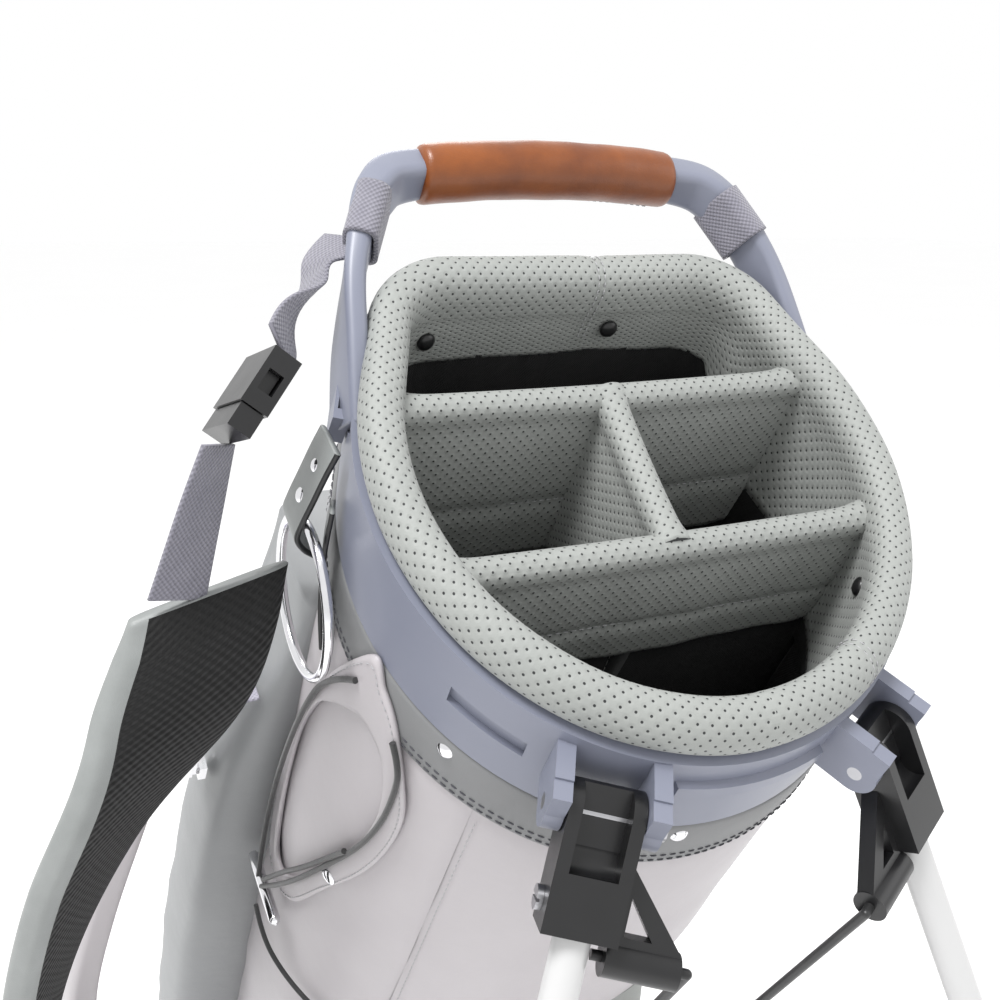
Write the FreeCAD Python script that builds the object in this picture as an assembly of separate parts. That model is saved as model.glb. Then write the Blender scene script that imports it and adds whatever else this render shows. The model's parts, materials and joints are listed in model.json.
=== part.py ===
import FreeCAD, Part
import math
import os

# Golf stand bag, standing on its base and its two opened legs.
# Millimetres. The bag frame has its origin at the centre of the mouth, +Z along the bag's axis out of
# the mouth, +Y towards the handle and -Y towards the legs. The finished part leans towards its legs.

V = FreeCAD.Vector

# overall sizes
BAG_LENGTH = 860.0          # mouth centre to the underside of the base, along the axis
MOUTH_RADIUS = 124.0        # outside of the collar at its sides and front
BACK_DEPTH = 106.0          # axis to the flat back of the collar
BACK_CORNER = 45.0          # radius of the two back corners
BACK_SWEEP = 20.0           # degrees above +X where the round front turns into the straight side
MOUTH_TILT = 13.0           # degrees that the mouth slopes down towards the legs
LEAN = 32.0                 # degrees that the opened bag leans towards its legs

# walls, all measured inwards from the outside of the collar
GAP = 0.3                   # between pieces that lie on each other
COLLAR_WALL = 6.0
COLLAR_TOP = -8.0           # heights below are along the mouth's normal
COLLAR_FOOT = -50.0
SPIGOT_FOOT = -76.0
SKIRT_WALL = 2.7
SKIRT_FOOT = -78.0
PANEL_INSET = 1.0
PANEL_WALL = 3.5
LINER_WALL = 2.2
RECESS_DEPTH = 2.5
RECESS_LOW = -32.0
RECESS_TURN = 130.0         # degrees from +Y, towards -X
SEAM_FRONT = -86.0
SEAM_BACK = 82.0

# padded cuff and dividers
CUFF_TOP = 9.0
CUFF_WIDTH = 19.0
CUFF_WALL = 8.5
CUFF_FOOT = -74.0
DIVIDER_THICK = 12.0
DIVIDER_DROP = 104.0
DIVIDER_TOP = -3.0
REAR_DIVIDER = 40.0
FRONT_DIVIDER = -34.0
CORE_RADIUS = 3.0
CLOTH_THICK = 1.6
CLOTH_CLEAR = 12.0

# base
CAP_HEIGHT = 78.0
CAP_WALL = 3.0
CAP_FLOOR = 5.0
FOOT_HINGE_Y = -112.0
FOOT_HINGE_UP = 8.0
FOOT_PIN_RADIUS = 2.5
FOOT_KNUCKLE = 6.0
FOOT_WIDTH = 110.0
FOOT_LENGTH = 52.0
FOOT_THICK = 6.0
FOOT_LEVER = 34.0
FOOT_EYE_BORE = 8.0
FOOT_EYE_RADIUS = 11.0
FOOT_EYE_X = 26.0
FOOT_EYE_WIDTH = 9.0

# legs
LEG_TURN = 28.0             # degrees that each leg's hinge is turned about the bag's axis
LEG_OPEN = 46.0             # degrees between the opened leg and the bag's axis
HINGE_OUT = 14.0
HINGE_DROP = 23.87          # hinge below the mouth's plane, measured straight down
HINGE_PIN_RADIUS = 3.0
RUN_CLEAR = 0.1
EAR_THICK = 7.0
EAR_RADIUS = 9.0
BRACKET_WIDTH = 28.0
BRACKET_SIDE_CLEAR = 0.5
BRACKET_BACK = 8.0
BRACKET_FRONT = 11.0
BRACKET_LENGTH = 42.0
TUBE_RADIUS = 7.0
TUBE_WALL = 1.2
TUBE_START = 25.0
BOOT_RADIUS = 13.0
BOOT_HEIGHT = 46.0
BARREL_RADIUS = 6.8
BARREL_Y = 1.0
BARREL_DOWN = 49.0
BARREL_START = 12.0
BARREL_END = 40.0
ARM_THICK = 7.0
WIRE_RADIUS = 2.0

# handle
GRIP_Y = 140.0
GRIP_Z = 47.0
GRIP_HALF = 66.0
GRIP_RADIUS = 12.0
ARCH_WIDTH = 15.0
ARCH_FOOT_WIDTH = 26.0
ARCH_THICK = 9.0
SLEEVE_WALL = 2.0

# towel ring
RING_RADIUS = 34.0
RING_WIRE = 2.2
RING_STAND_OFF = 11.0

# straps
WEB_WIDTH = 25.0
WEB_THICK = 2.0
PAD_WIDTH = 62.0
PAD_THICK = 16.0

# leather loop patch: points of its edge as (around the bag, along the bag) from its own centre line
PATCH_TURN = 12.0
PATCH_BAND = 13.0
PATCH_SIDES = 40
PATCH_OUTLINE = [
    (-3, -86), (24, -108), (36, -150), (30, -205), (10, -250), (-24, -262), (-48, -238), (-44, -180), (-27, -122),
]

# cord
CORD_RADIUS = 1.4


# ---------------------------------------------------------------- shared shapes

def outline(grow, z=0.0):
    """Outline of the bag in a level plane: round front, straight swept sides, flat back."""
    sweep = math.radians(BACK_SWEEP)
    radius = MOUTH_RADIUS + grow
    back = BACK_DEPTH + grow
    corner = BACK_CORNER + grow
    side = V(radius * math.cos(sweep), radius * math.sin(sweep), z)
    run = (back - side.y) / math.cos(sweep)
    tip = V(side.x - run * math.sin(sweep), back, z)
    reach = corner * math.tan(math.pi / 4 - sweep / 2)
    low = V(tip.x + reach * math.sin(sweep), tip.y - reach * math.cos(sweep), z)
    high = V(tip.x - reach, back, z)
    centre = V(high.x, back - corner, z)
    turn = (math.pi / 2 + sweep) / 2
    middle = V(centre.x + corner * math.cos(turn), centre.y + corner * math.sin(turn), z)

    def flip(p):
        return V(-p.x, p.y, p.z)

    edges = [
        Part.Arc(flip(side), V(0, -radius, z), side).toShape(),
        Part.LineSegment(side, low).toShape(),
        Part.Arc(low, middle, high).toShape(),
        Part.LineSegment(high, flip(high)).toShape(),
        Part.Arc(flip(high), flip(middle), flip(low)).toShape(),
        Part.LineSegment(flip(low), flip(side)).toShape(),
    ]
    return Part.Wire(edges)


def prism(grow, low, high):
    return Part.Face(outline(grow, low)).extrude(V(0, 0, high - low))


def ring(outer, inner, low, high):
    return prism(outer, low, high).cut(prism(inner, low - 1, high + 1))


def block(x0, x1, y0, y1, z0, z1):
    return Part.makeBox(x1 - x0, y1 - y0, z1 - z0, V(x0, y0, z0))


def rod_x(radius, x0, x1, y, z):
    return Part.makeCylinder(radius, x1 - x0, V(x0, y, z), V(1, 0, 0))


def between(a, b, radius):
    return Part.makeCylinder(radius, (b - a).Length, a, b - a)


def turned(shape, degrees):
    """The shape turned about the X axis."""
    result = shape.copy()
    result.rotate(V(0, 0, 0), V(1, 0, 0), degrees)
    return result


def tilted(shape):
    """From the sloping mouth's frame to the bag frame."""
    return turned(shape, MOUTH_TILT)


def leaned(shape):
    """From the bag frame to the level frame, where +Z is up."""
    return turned(shape, LEAN)


def slab(low, high):
    """Everything between two planes parallel to the mouth."""
    size = 2 * BAG_LENGTH
    return tilted(block(-size, size, -size, size, low, high))


def mouth_band(outer, inner, low, high):
    return ring(outer, inner, -160, 80).common(slab(low, high))


def below_mouth(shape, height):
    return shape.common(slab(-3 * BAG_LENGTH, height))


def mirror_x(shape):
    return shape.mirror(V(0, 0, 0), V(1, 0, 0))


def one_solid(shape):
    """The only solid of a result that is one piece."""
    return shape.removeSplitter().Solids[0]


def tube_path(points, radius):
    """Tube of straight runs joined by tangent arcs; returns the solid and the arcs' radii."""
    edges = []
    radii = []
    start = points[0]
    for i in range(1, len(points) - 1):
        back = points[i - 1] - points[i]
        ahead = points[i + 1] - points[i]
        half_turn = (math.pi - back.getAngle(ahead)) / 2
        cut = 0.45 * min(back.Length, ahead.Length)
        bend = cut / math.tan(half_turn)
        radii.append(bend)
        back.normalize()
        ahead.normalize()
        enter = points[i] + back * cut
        leave = points[i] + ahead * cut
        inward = back + ahead
        inward.normalize()
        middle = points[i] + inward * (bend / math.cos(half_turn) - bend)
        edges.append(Part.LineSegment(start, enter).toShape())
        edges.append(Part.Arc(enter, middle, leave).toShape())
        start = leave
    edges.append(Part.LineSegment(start, points[-1]).toShape())
    path = Part.Wire(edges)
    section = Part.Wire([Part.makeCircle(radius, points[0], points[1] - points[0])])
    return path.makePipeShell([section], True, False), radii


def ribbon(stations, thick):
    """Flat strap through stations of (centre, direction across, width)."""
    wires = []
    for i, (centre, across, width) in enumerate(stations):
        before = stations[max(i - 1, 0)][0]
        after = stations[min(i + 1, len(stations) - 1)][0]
        normal = (after - before).cross(across)
        normal.normalize()
        side = V(across)
        side.normalize()
        half = side * (width / 2)
        lift = normal * (thick / 2)
        corners = [centre - half - lift, centre + half - lift, centre + half + lift, centre - half + lift]
        wires.append(Part.makePolygon(corners + [corners[0]]))
    return Part.makeLoft(wires, True, True)


# ---------------------------------------------------------------- collar and cuff

def hinge_centre(side):
    turn = math.radians(LEG_TURN)
    reach = MOUTH_RADIUS + HINGE_OUT
    y = -reach * math.cos(turn)
    return V(side * reach * math.sin(turn), y, y * math.tan(math.radians(MOUTH_TILT)) - HINGE_DROP)


def at_hinge(shape, side):
    """From the hinge's own frame (+X along the pin, -Y away from the bag) to the bag frame."""
    result = shape.copy()
    spin = FreeCAD.Rotation(V(0, 0, 1), side * LEG_TURN)
    result.Placement = FreeCAD.Placement(hinge_centre(side), spin).multiply(result.Placement)
    return result


def clevis_ears(side):
    """Two ears that hold a leg's hinge pin, drilled through."""
    inner = BRACKET_WIDTH / 2 + BRACKET_SIDE_CLEAR
    outer = inner + EAR_THICK
    ears = []
    for low, high in ((-outer, -inner), (inner, outer)):
        root = block(low, high, 0, HINGE_OUT + COLLAR_WALL, -EAR_RADIUS, EAR_RADIUS + 7)
        brace = block(low, high, -EAR_RADIUS + 1, 0, 0, EAR_RADIUS + 6)
        ears.append(root.fuse([brace, rod_x(EAR_RADIUS, low, high, 0, 0)]))
    pair = ears[0].fuse(ears[1])
    pair = pair.cut(rod_x(HINGE_PIN_RADIUS, -outer - 1, outer + 1, 0, 0))
    return at_hinge(pair, side)


def slot_loop():
    """Flat loop on the left side that a towel or a strap goes through."""
    sweep = math.radians(BACK_SWEEP)
    loop = block(-1, 6, -2, 40, -31, -15)
    loop = loop.cut(block(1.5, 4.5, 3, 35, -32, -14))
    loop.rotate(V(0, 0, 0), V(0, 0, 1), BACK_SWEEP)
    loop.translate(V(MOUTH_RADIUS * math.cos(sweep), MOUTH_RADIUS * math.sin(sweep), 0))
    return tilted(mirror_x(loop))


def collar_frame():
    band = mouth_band(0, -COLLAR_WALL, COLLAR_FOOT, COLLAR_TOP)
    spigot = mouth_band(-SKIRT_WALL - GAP, -COLLAR_WALL, SPIGOT_FOOT, COLLAR_FOOT + 1)
    rib = mouth_band(3, -COLLAR_WALL / 2, COLLAR_TOP - 16, COLLAR_TOP - 10)
    rib = rib.common(block(-34, 34, -2 * MOUTH_RADIUS, 0, -BAG_LENGTH, 0))
    pieces = [spigot, rib, slot_loop()]
    for side in (-1, 1):
        pieces.append(clevis_ears(side))
    frame = band.fuse(pieces).cut(prism(-COLLAR_WALL, -160, 80))
    frame = frame.cut([arch_solid(0), collar_recess()])
    for side in (-1, 1):
        frame = frame.cut(at_hinge(leg_room(), side))
    return one_solid(frame)


def collar_recess():
    """Long shallow recess in the collar's outside, beside the left leg."""
    wedge = block(-17, 17, MOUTH_RADIUS / 2, 2 * MOUTH_RADIUS, -BAG_LENGTH, BAG_LENGTH)
    wedge.rotate(V(0, 0, 0), V(0, 0, 1), RECESS_TURN)
    return mouth_band(3, -RECESS_DEPTH, RECESS_LOW, RECESS_LOW + 8).common(wedge)


def leg_room():
    """Space that the bracket's rounded top sweeps in front of the collar."""
    half = BRACKET_WIDTH / 2 + BRACKET_SIDE_CLEAR
    return rod_x(HINGE_OUT - 1.0, -half, half, 0, 0)


def collar_skirt():
    return one_solid(mouth_band(0, -SKIRT_WALL, SKIRT_FOOT, COLLAR_FOOT - GAP).cut(leg_rooms()))


def leg_rooms():
    return at_hinge(leg_room(), -1).fuse(at_hinge(leg_room(), 1))


def cuff_roll(extra):
    """The padded roll on top of the collar."""
    return mouth_band(0, -CUFF_WIDTH - extra, COLLAR_TOP + GAP - extra, CUFF_TOP)


def cuff_pad():
    roll = cuff_roll(0)
    sleeve = mouth_band(-COLLAR_WALL - GAP, -COLLAR_WALL - CUFF_WALL, CUFF_FOOT, COLLAR_TOP + 1)
    return one_solid(roll.fuse(sleeve).cut(arch_solid(GAP)))


def inside_cuff():
    return -COLLAR_WALL - CUFF_WALL - GAP


def snaps():
    """Three press studs on the inside of the cuff, for a rain hood."""
    solids = []
    face = inside_cuff() + GAP
    for x, y_sign in ((-52, 1), (30, 1), (96, -1)):
        if y_sign > 0:
            stud = Part.makeCylinder(4.2, 2.4, V(x, BACK_DEPTH + face, -20), V(0, -1, 0))
        else:
            turn = math.radians(-34)
            reach = MOUTH_RADIUS + face
            spot = V(reach * math.cos(turn), reach * math.sin(turn), -50)
            stud = Part.makeCylinder(4.2, 2.4, spot, V(-math.cos(turn), -math.sin(turn), 0))
        solids.append(stud.cut(ring(40, face, -90, 40)))
    return Part.makeCompound(solids)


def rivets():
    """Dome rivets that hold the skirt on the collar's spigot."""
    solids = []
    for turn in (215, 262, 325):
        a = math.radians(turn)
        spot = V(MOUTH_RADIUS * math.cos(a), MOUTH_RADIUS * math.sin(a), 0)
        height = math.tan(math.radians(MOUTH_TILT)) * spot.y + (COLLAR_FOOT - 9)
        foot = V(spot.x, spot.y, height)
        out = V(math.cos(a), math.sin(a), 0)
        head = Part.makeSphere(5.0, foot - out * 3.0).cut(prism(GAP / 3, -200, 20))
        solids.append(head)
    return Part.makeCompound(solids)


# ---------------------------------------------------------------- dividers

def divider_place(y):
    """Height of a cross divider's top in the bag frame."""
    slope = math.tan(math.radians(MOUTH_TILT))
    return y * slope + DIVIDER_TOP / math.cos(math.radians(MOUTH_TILT))


def divider_sleeve(y):
    half = DIVIDER_THICK / 2
    top = divider_place(y)
    hang = block(-MOUTH_RADIUS, MOUTH_RADIUS, y - half, y + half, top - DIVIDER_DROP, top - half)
    roll = rod_x(half, -MOUTH_RADIUS, MOUTH_RADIUS, y, top - half)
    sleeve = hang.fuse(roll).common(prism(inside_cuff() - GAP, -300, 60)).cut(cuff_roll(GAP))
    core = rod_x(CORE_RADIUS + GAP, -MOUTH_RADIUS, MOUTH_RADIUS, y, top - half)
    return one_solid(sleeve.cut(core))


def divider_core(y):
    top = divider_place(y)
    core = rod_x(CORE_RADIUS, -MOUTH_RADIUS, MOUTH_RADIUS, y, top - DIVIDER_THICK / 2)
    return one_solid(core.common(prism(inside_cuff() - GAP, -300, 60)).cut(cuff_roll(GAP)))


def middle_sleeve():
    half = DIVIDER_THICK / 2
    back = REAR_DIVIDER - half - GAP
    front = FRONT_DIVIDER + half + GAP
    high = DIVIDER_TOP - half
    hang = block(-half, half, -90, 90, -DIVIDER_DROP, high)
    roll = Part.makeCylinder(half, 180, V(0, -90, high), V(0, 1, 0))
    sleeve = tilted(hang.fuse(roll)).common(block(-half, half, front, back, -400, 100))
    core = tilted(Part.makeCylinder(CORE_RADIUS + GAP, 180, V(0, -90, high), V(0, 1, 0)))
    return one_solid(sleeve.cut(core))


def middle_core():
    half = DIVIDER_THICK / 2
    core = tilted(Part.makeCylinder(CORE_RADIUS, 180, V(0, -90, DIVIDER_TOP - half), V(0, 1, 0)))
    room = block(-half, half, FRONT_DIVIDER + half + GAP, REAR_DIVIDER - half - GAP, -400, 100)
    return one_solid(core.common(room))


def liner_inside():
    return -PANEL_INSET - PANEL_WALL - GAP - LINER_WALL - GAP


def divider_cloth(y):
    """Full-length cloth below a cross divider, sewn to the sleeve."""
    half = CLOTH_THICK / 2
    top = divider_place(y) - DIVIDER_DROP - GAP
    low = -BAG_LENGTH + CAP_FLOOR + CLOTH_CLEAR
    sheet = block(-MOUTH_RADIUS, MOUTH_RADIUS, y - half, y + half, low, top)
    return one_solid(sheet.common(prism(liner_inside() - GAP, -BAG_LENGTH, 0)))


def middle_cloth():
    half = CLOTH_THICK / 2
    front = FRONT_DIVIDER + half + GAP
    back = REAR_DIVIDER - half - GAP
    low = -BAG_LENGTH + CAP_FLOOR + CLOTH_CLEAR
    top = divider_place(FRONT_DIVIDER) - DIVIDER_DROP - 6
    return block(-half, half, front, back, low, top)


# ---------------------------------------------------------------- body

def body_ring():
    low = -BAG_LENGTH + CAP_HEIGHT + GAP
    wall = ring(-PANEL_INSET, -PANEL_INSET - PANEL_WALL, low, 60)
    return below_mouth(wall, SKIRT_FOOT - GAP)


def panel(side_x, y0, y1):
    """One sewn panel of the body, between two seams."""
    reach = 2 * MOUTH_RADIUS
    x0, x1 = {-1: (-reach, 0), 0: (-reach, reach), 1: (0, reach)}[side_x]
    return one_solid(body_ring().common(block(x0, x1, y0, y1, -BAG_LENGTH, 100)))


def body_liner():
    outer = -PANEL_INSET - PANEL_WALL - GAP
    wall = ring(outer, outer - LINER_WALL, -BAG_LENGTH + CAP_FLOOR + GAP, 60)
    return one_solid(below_mouth(wall, SPIGOT_FOOT - GAP).cut(foot_housing(GAP)))


def base_cap():
    """Moulded cup at the bottom, cut away in front for the hinged foot."""
    low = -BAG_LENGTH
    outer = prism(CAP_WALL, low, low + CAP_HEIGHT)
    inner = prism(-PANEL_INSET - PANEL_WALL, low + CAP_FLOOR, low + CAP_HEIGHT + 1)
    cup = outer.cut(inner)
    cup = cup.fuse([foot_housing(0), foot_knuckles()])
    cup = cup.cut(foot_room())
    half = FOOT_WIDTH / 2
    cup = cup.cut(at_foot(rod_x(FOOT_PIN_RADIUS, -half, half, 0, 0)))
    size = 2 * BAG_LENGTH
    cup = cup.cut(at_foot(block(-size, size, -size, size, -size, -FOOT_KNUCKLE)))
    return one_solid(cup)


def foot_housing(extra):
    """Thick inner wall at the front of the base, which the foot's hinge is let into."""
    half = FOOT_WIDTH / 2 + 8 + extra
    low = -BAG_LENGTH
    shell = block(-half, half, -2 * MOUTH_RADIUS, FOOT_HINGE_Y + 16 + extra, low, low + 42 + extra)
    return shell.common(prism(0, low, low + CAP_HEIGHT))


def foot_hinge():
    return V(0, FOOT_HINGE_Y, -BAG_LENGTH + FOOT_HINGE_UP)


def at_foot(shape):
    """From the foot's own frame (origin on its pin, lying level) to the bag frame."""
    result = turned(shape, -LEAN)
    result.translate(foot_hinge())
    return result


def foot_knuckles():
    parts = []
    for x in (-FOOT_WIDTH / 2, FOOT_WIDTH / 2 - 14):
        knuckle = rod_x(FOOT_KNUCKLE, x, x + 14, 0, 0)
        knuckle = knuckle.fuse(block(x, x + 14, 0, 14, -FOOT_KNUCKLE, FOOT_KNUCKLE + 6))
        parts.append(at_foot(knuckle))
    return parts[0].fuse(parts[1])


def foot_room():
    """Space under the front of the base that the foot turns in."""
    half = FOOT_WIDTH / 2 - 14
    sweep = rod_x(FOOT_KNUCKLE + 1.2, -half, half, 0, 0)
    reach = FOOT_LENGTH + 8
    wide = FOOT_WIDTH / 2 + 2
    lobe = block(-wide, wide, -reach, 0, -40, FOOT_THICK - FOOT_KNUCKLE + 2)
    for x in (-wide, half):
        lobe = lobe.cut(rod_x(FOOT_KNUCKLE, x, x + wide - half, 0, 0))
    eyes = block(-FOOT_EYE_X - 12, FOOT_EYE_X + 12, -reach, -FOOT_LEVER + FOOT_EYE_RADIUS + 2, -9, 22)
    return at_foot(sweep.fuse([lobe, eyes]))


def stand_foot():
    """Hinged plate under the front of the base; it lifts the two rods when the bag leans on it."""
    half = FOOT_WIDTH / 2
    inner = half - 14 - GAP
    low = -FOOT_KNUCKLE
    plate = block(-half, half, -FOOT_LENGTH, -FOOT_KNUCKLE - 2.0, low, low + FOOT_THICK)
    tongue = block(-inner, inner, -FOOT_KNUCKLE - 3.0, 0, low, low + FOOT_THICK)
    knuckle = rod_x(FOOT_KNUCKLE, -inner, inner, 0, 0)
    pieces = [tongue, knuckle]
    for x in (-FOOT_EYE_X, FOOT_EYE_X):
        x0 = x - FOOT_EYE_WIDTH / 2
        x1 = x + FOOT_EYE_WIDTH / 2
        pieces.append(rod_x(FOOT_EYE_RADIUS, x0, x1, -FOOT_LEVER, FOOT_EYE_RADIUS - FOOT_KNUCKLE))
        pieces.append(block(x0, x1, -FOOT_LEVER - FOOT_EYE_RADIUS, -FOOT_LEVER + FOOT_EYE_RADIUS, low, 2))
    foot = plate.fuse(pieces)
    foot = foot.cut(rod_x(FOOT_PIN_RADIUS + RUN_CLEAR, -half, half, 0, 0))
    for x in (-FOOT_EYE_X, FOOT_EYE_X):
        bore = rod_x(FOOT_EYE_BORE, x - 9, x + 9, -FOOT_LEVER, FOOT_EYE_RADIUS - FOOT_KNUCKLE)
        foot = foot.cut(bore)
    return at_foot(one_solid(foot))


def foot_pin():
    half = FOOT_WIDTH / 2
    return at_foot(rod_x(FOOT_PIN_RADIUS, -half, half, 0, 0))


def foot_eye(side):
    """Centre of one rod's eye in the bag frame."""
    angle = math.radians(-LEAN)
    y = -FOOT_LEVER
    z = FOOT_EYE_RADIUS - FOOT_KNUCKLE
    return foot_hinge() + V(
        side * FOOT_EYE_X,
        y * math.cos(angle) - z * math.sin(angle),
        y * math.sin(angle) + z * math.cos(angle),
    )


def hip_pad():
    """Cushion on the front of the body, between the legs."""
    pad = ring(12, 0, -580, -275).common(block(-42, 42, -2 * MOUTH_RADIUS, 0, -600, -260))
    return one_solid(pad)


# ---------------------------------------------------------------- legs

def at_leg(shape, side):
    """From the leg's frame (origin on its hinge, -Z down the leg) to the bag frame."""
    return at_hinge(turned(shape, -LEG_OPEN), side)


def inward(side):
    """Which way along the hinge's X axis the middle of the bag lies."""
    return -side


def toward(shape, side):
    return shape if inward(side) > 0 else mirror_x(shape)


def leg_bracket(side):
    half = BRACKET_WIDTH / 2
    depth_low = -BRACKET_FRONT
    body = block(-half, half, depth_low, BRACKET_BACK, -BRACKET_LENGTH, 0)
    head = rod_x(BRACKET_FRONT, -half, half, 0, 0)
    body = body.fuse(head)
    body = body.cut(block(-half + 5, half - 5, depth_low - 1, -3, -16, BRACKET_FRONT + 1))
    body = body.cut(rod_x(6.5, -half + 5, half - 5, -9, -14))
    arm = Part.makePolygon([
        V(half - 1, 0, -12), V(half - 1, 0, -BARREL_DOWN),
        V(BARREL_END, 0, -BARREL_DOWN), V(BARREL_END, 0, -BARREL_DOWN + 6), V(half - 1, 0, -12),
    ])
    window = Part.makePolygon([
        V(half + 3.5, 0, -26), V(half + 3.5, 0, -40), V(half + 14, 0, -40), V(half + 3.5, 0, -26),
    ])
    web = Part.Face(arm).extrude(V(0, ARM_THICK, 0))
    web = web.cut(Part.Face(window).extrude(V(0, ARM_THICK, 0)))
    web.translate(V(0, BARREL_Y - ARM_THICK / 2, 0))
    barrel = rod_x(BARREL_RADIUS, BARREL_START, BARREL_END, BARREL_Y, -BARREL_DOWN)
    bracket = body.fuse([web, barrel])
    bracket = bracket.cut(rod_x(WIRE_RADIUS + RUN_CLEAR, -half, BARREL_END + 1, BARREL_Y, -BARREL_DOWN))
    bore = Part.makeCylinder(TUBE_RADIUS, 60, V(0, 0, -TUBE_START), V(0, 0, -1))
    bracket = bracket.cut(bore)
    bracket = bracket.cut(rod_x(HINGE_PIN_RADIUS + RUN_CLEAR, -half - 1, half + 1, 0, 0))
    screw = Part.makeCylinder(2.5, 12, V(-half - 1, 0, -33), V(1, 0, 0))
    bracket = bracket.cut(screw)
    return at_leg(toward(one_solid(bracket), side), side)


def bracket_screw(side):
    """Screw that clamps the tube in the bracket, from the outer side."""
    half = BRACKET_WIDTH / 2
    shank = rod_x(2.4, -half - 0.5, -TUBE_RADIUS - GAP, 0, -33)
    head = rod_x(4.5, -half - 2.5, -half - 0.1, 0, -33)
    slot = block(-half - 3, -half - 1.3, -5, 5, -33.6, -32.4)
    return at_leg(toward(shank.fuse(head).cut(slot), side), side)


def hinge_pin(side):
    outer = BRACKET_WIDTH / 2 + BRACKET_SIDE_CLEAR + EAR_THICK
    pin = rod_x(HINGE_PIN_RADIUS, -outer, outer, 0, 0)
    head = rod_x(HINGE_PIN_RADIUS + 2, outer + 0.1, outer + 2.5, 0, 0)
    neck = rod_x(HINGE_PIN_RADIUS, outer, outer + 0.2, 0, 0)
    return at_hinge(one_solid(pin.fuse([neck, head])), side)


def floor_height():
    """Height of the floor in the level frame, under the base's knuckles."""
    lean = math.radians(LEAN)
    hinge = foot_hinge()
    return hinge.y * math.sin(lean) + hinge.z * math.cos(lean) - FOOT_KNUCKLE


def leg_reach():
    """Length of a leg, from its hinge to the floor."""
    lean = math.radians(LEAN)
    hinge = hinge_centre(1)
    height = hinge.y * math.sin(lean) + hinge.z * math.cos(lean) - floor_height()
    opened = math.radians(LEG_OPEN)
    forward = math.sin(opened) * math.cos(math.radians(LEG_TURN))
    drop = forward * math.sin(lean) + math.cos(opened) * math.cos(lean)
    return height / drop


def above_floor(shape, side):
    """The part of a piece in the leg's frame that is above the floor, in the bag frame."""
    placed = at_leg(shape, side)
    size = 2 * BAG_LENGTH
    air = block(-size, size, -size, size, floor_height(), size)
    return placed.common(turned(air, -LEAN))


def leg_tube(side):
    reach = leg_reach() - 16
    tube = Part.makeCylinder(TUBE_RADIUS, reach - TUBE_START, V(0, 0, -reach))
    bore = Part.makeCylinder(TUBE_RADIUS - TUBE_WALL, reach, V(0, 0, -reach - 1))
    bore = bore.common(block(-20, 20, -20, 20, -reach - 2, -TUBE_START - 4))
    return at_leg(tube.cut(bore), side)


def leg_boot(side):
    """Rubber boot that caps the tube; its sole is level on the floor."""
    reach = leg_reach()
    top = -reach + BOOT_HEIGHT
    shaft = Part.makeCone(BOOT_RADIUS, TUBE_RADIUS + 2.5, BOOT_HEIGHT - 14, V(0, 0, -reach + 14))
    sole = Part.makeCylinder(BOOT_RADIUS, 34, V(0, 0, -reach - 20))
    boot = shaft.fuse(sole)
    socket = Part.makeCylinder(TUBE_RADIUS + 0.05, top + reach, V(0, 0, -reach + 15.9))
    return one_solid(above_floor(boot.cut(socket), side))


def wire_start(side):
    """Point where a rod leaves its barrel, in the bag frame."""
    return at_leg(Part.Vertex(V(inward(side) * (BARREL_END + 4), BARREL_Y, -BARREL_DOWN)), side).Point


def wire_tip(side):
    return at_leg(Part.Vertex(V(inward(side) * (BARREL_START - 4), BARREL_Y, -BARREL_DOWN)), side).Point


def lift_rod(side):
    """Steel wire from the bracket's barrel down to the foot, bent at both ends."""
    top = wire_start(side)
    eye = foot_eye(side)
    inner_end = eye - V(side * (FOOT_EYE_WIDTH / 2 + 3), 0, 0)
    outer_end = eye + V(side * (FOOT_EYE_WIDTH / 2 + 4), 0, 0)
    points = [wire_tip(side), top, outer_end, inner_end]
    rod = None
    for a, b in zip(points, points[1:]):
        piece = between(a, b, WIRE_RADIUS)
        rod = piece if rod is None else rod.fuse(piece)
    for corner in points[1:3]:
        rod = rod.fuse(Part.makeSphere(WIRE_RADIUS, corner))
    return one_solid(rod)


# ---------------------------------------------------------------- handle

def arch_points():
    """Centre line of the handle from the collar's left side to the grip, in the bag frame."""
    return [
        V(-115, 44, -12),
        V(-110, 72, 9),
        V(-102, 100, 30),
        V(-88, 127, 44),
        V(-GRIP_HALF, GRIP_Y, GRIP_Z),
    ]


def arch_solid(extra):
    """Plastic arch: two flat struts that widen downwards, two elbows and the bar inside the grip."""
    thick = ARCH_THICK + 2 * extra
    across = [V(0, 0.85, -0.5), V(0, 0.6, -0.8), V(0.2, 0.35, -0.9), V(0.2, 0.1, -1), V(0, 0.1, -1)]
    widths = [ARCH_FOOT_WIDTH, ARCH_FOOT_WIDTH - 4, ARCH_WIDTH + 1, ARCH_WIDTH, ARCH_WIDTH]
    stations = [(point, turn, wide + 2 * extra) for point, turn, wide in zip(arch_points(), across, widths)]
    strut = ribbon(stations, thick)
    bar = rod_x(5.0 + extra, -GRIP_HALF - 2, GRIP_HALF + 2, GRIP_Y, GRIP_Z)
    return strut.fuse([mirror_x(strut), bar])


def handle_arch():
    return one_solid(arch_solid(0))


def handle_grip():
    end = GRIP_HALF - 1.5
    sleeve = rod_x(GRIP_RADIUS, -end, end, GRIP_Y, GRIP_Z)
    core = arch_solid(GAP)
    return one_solid(sleeve.cut(core))


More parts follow.
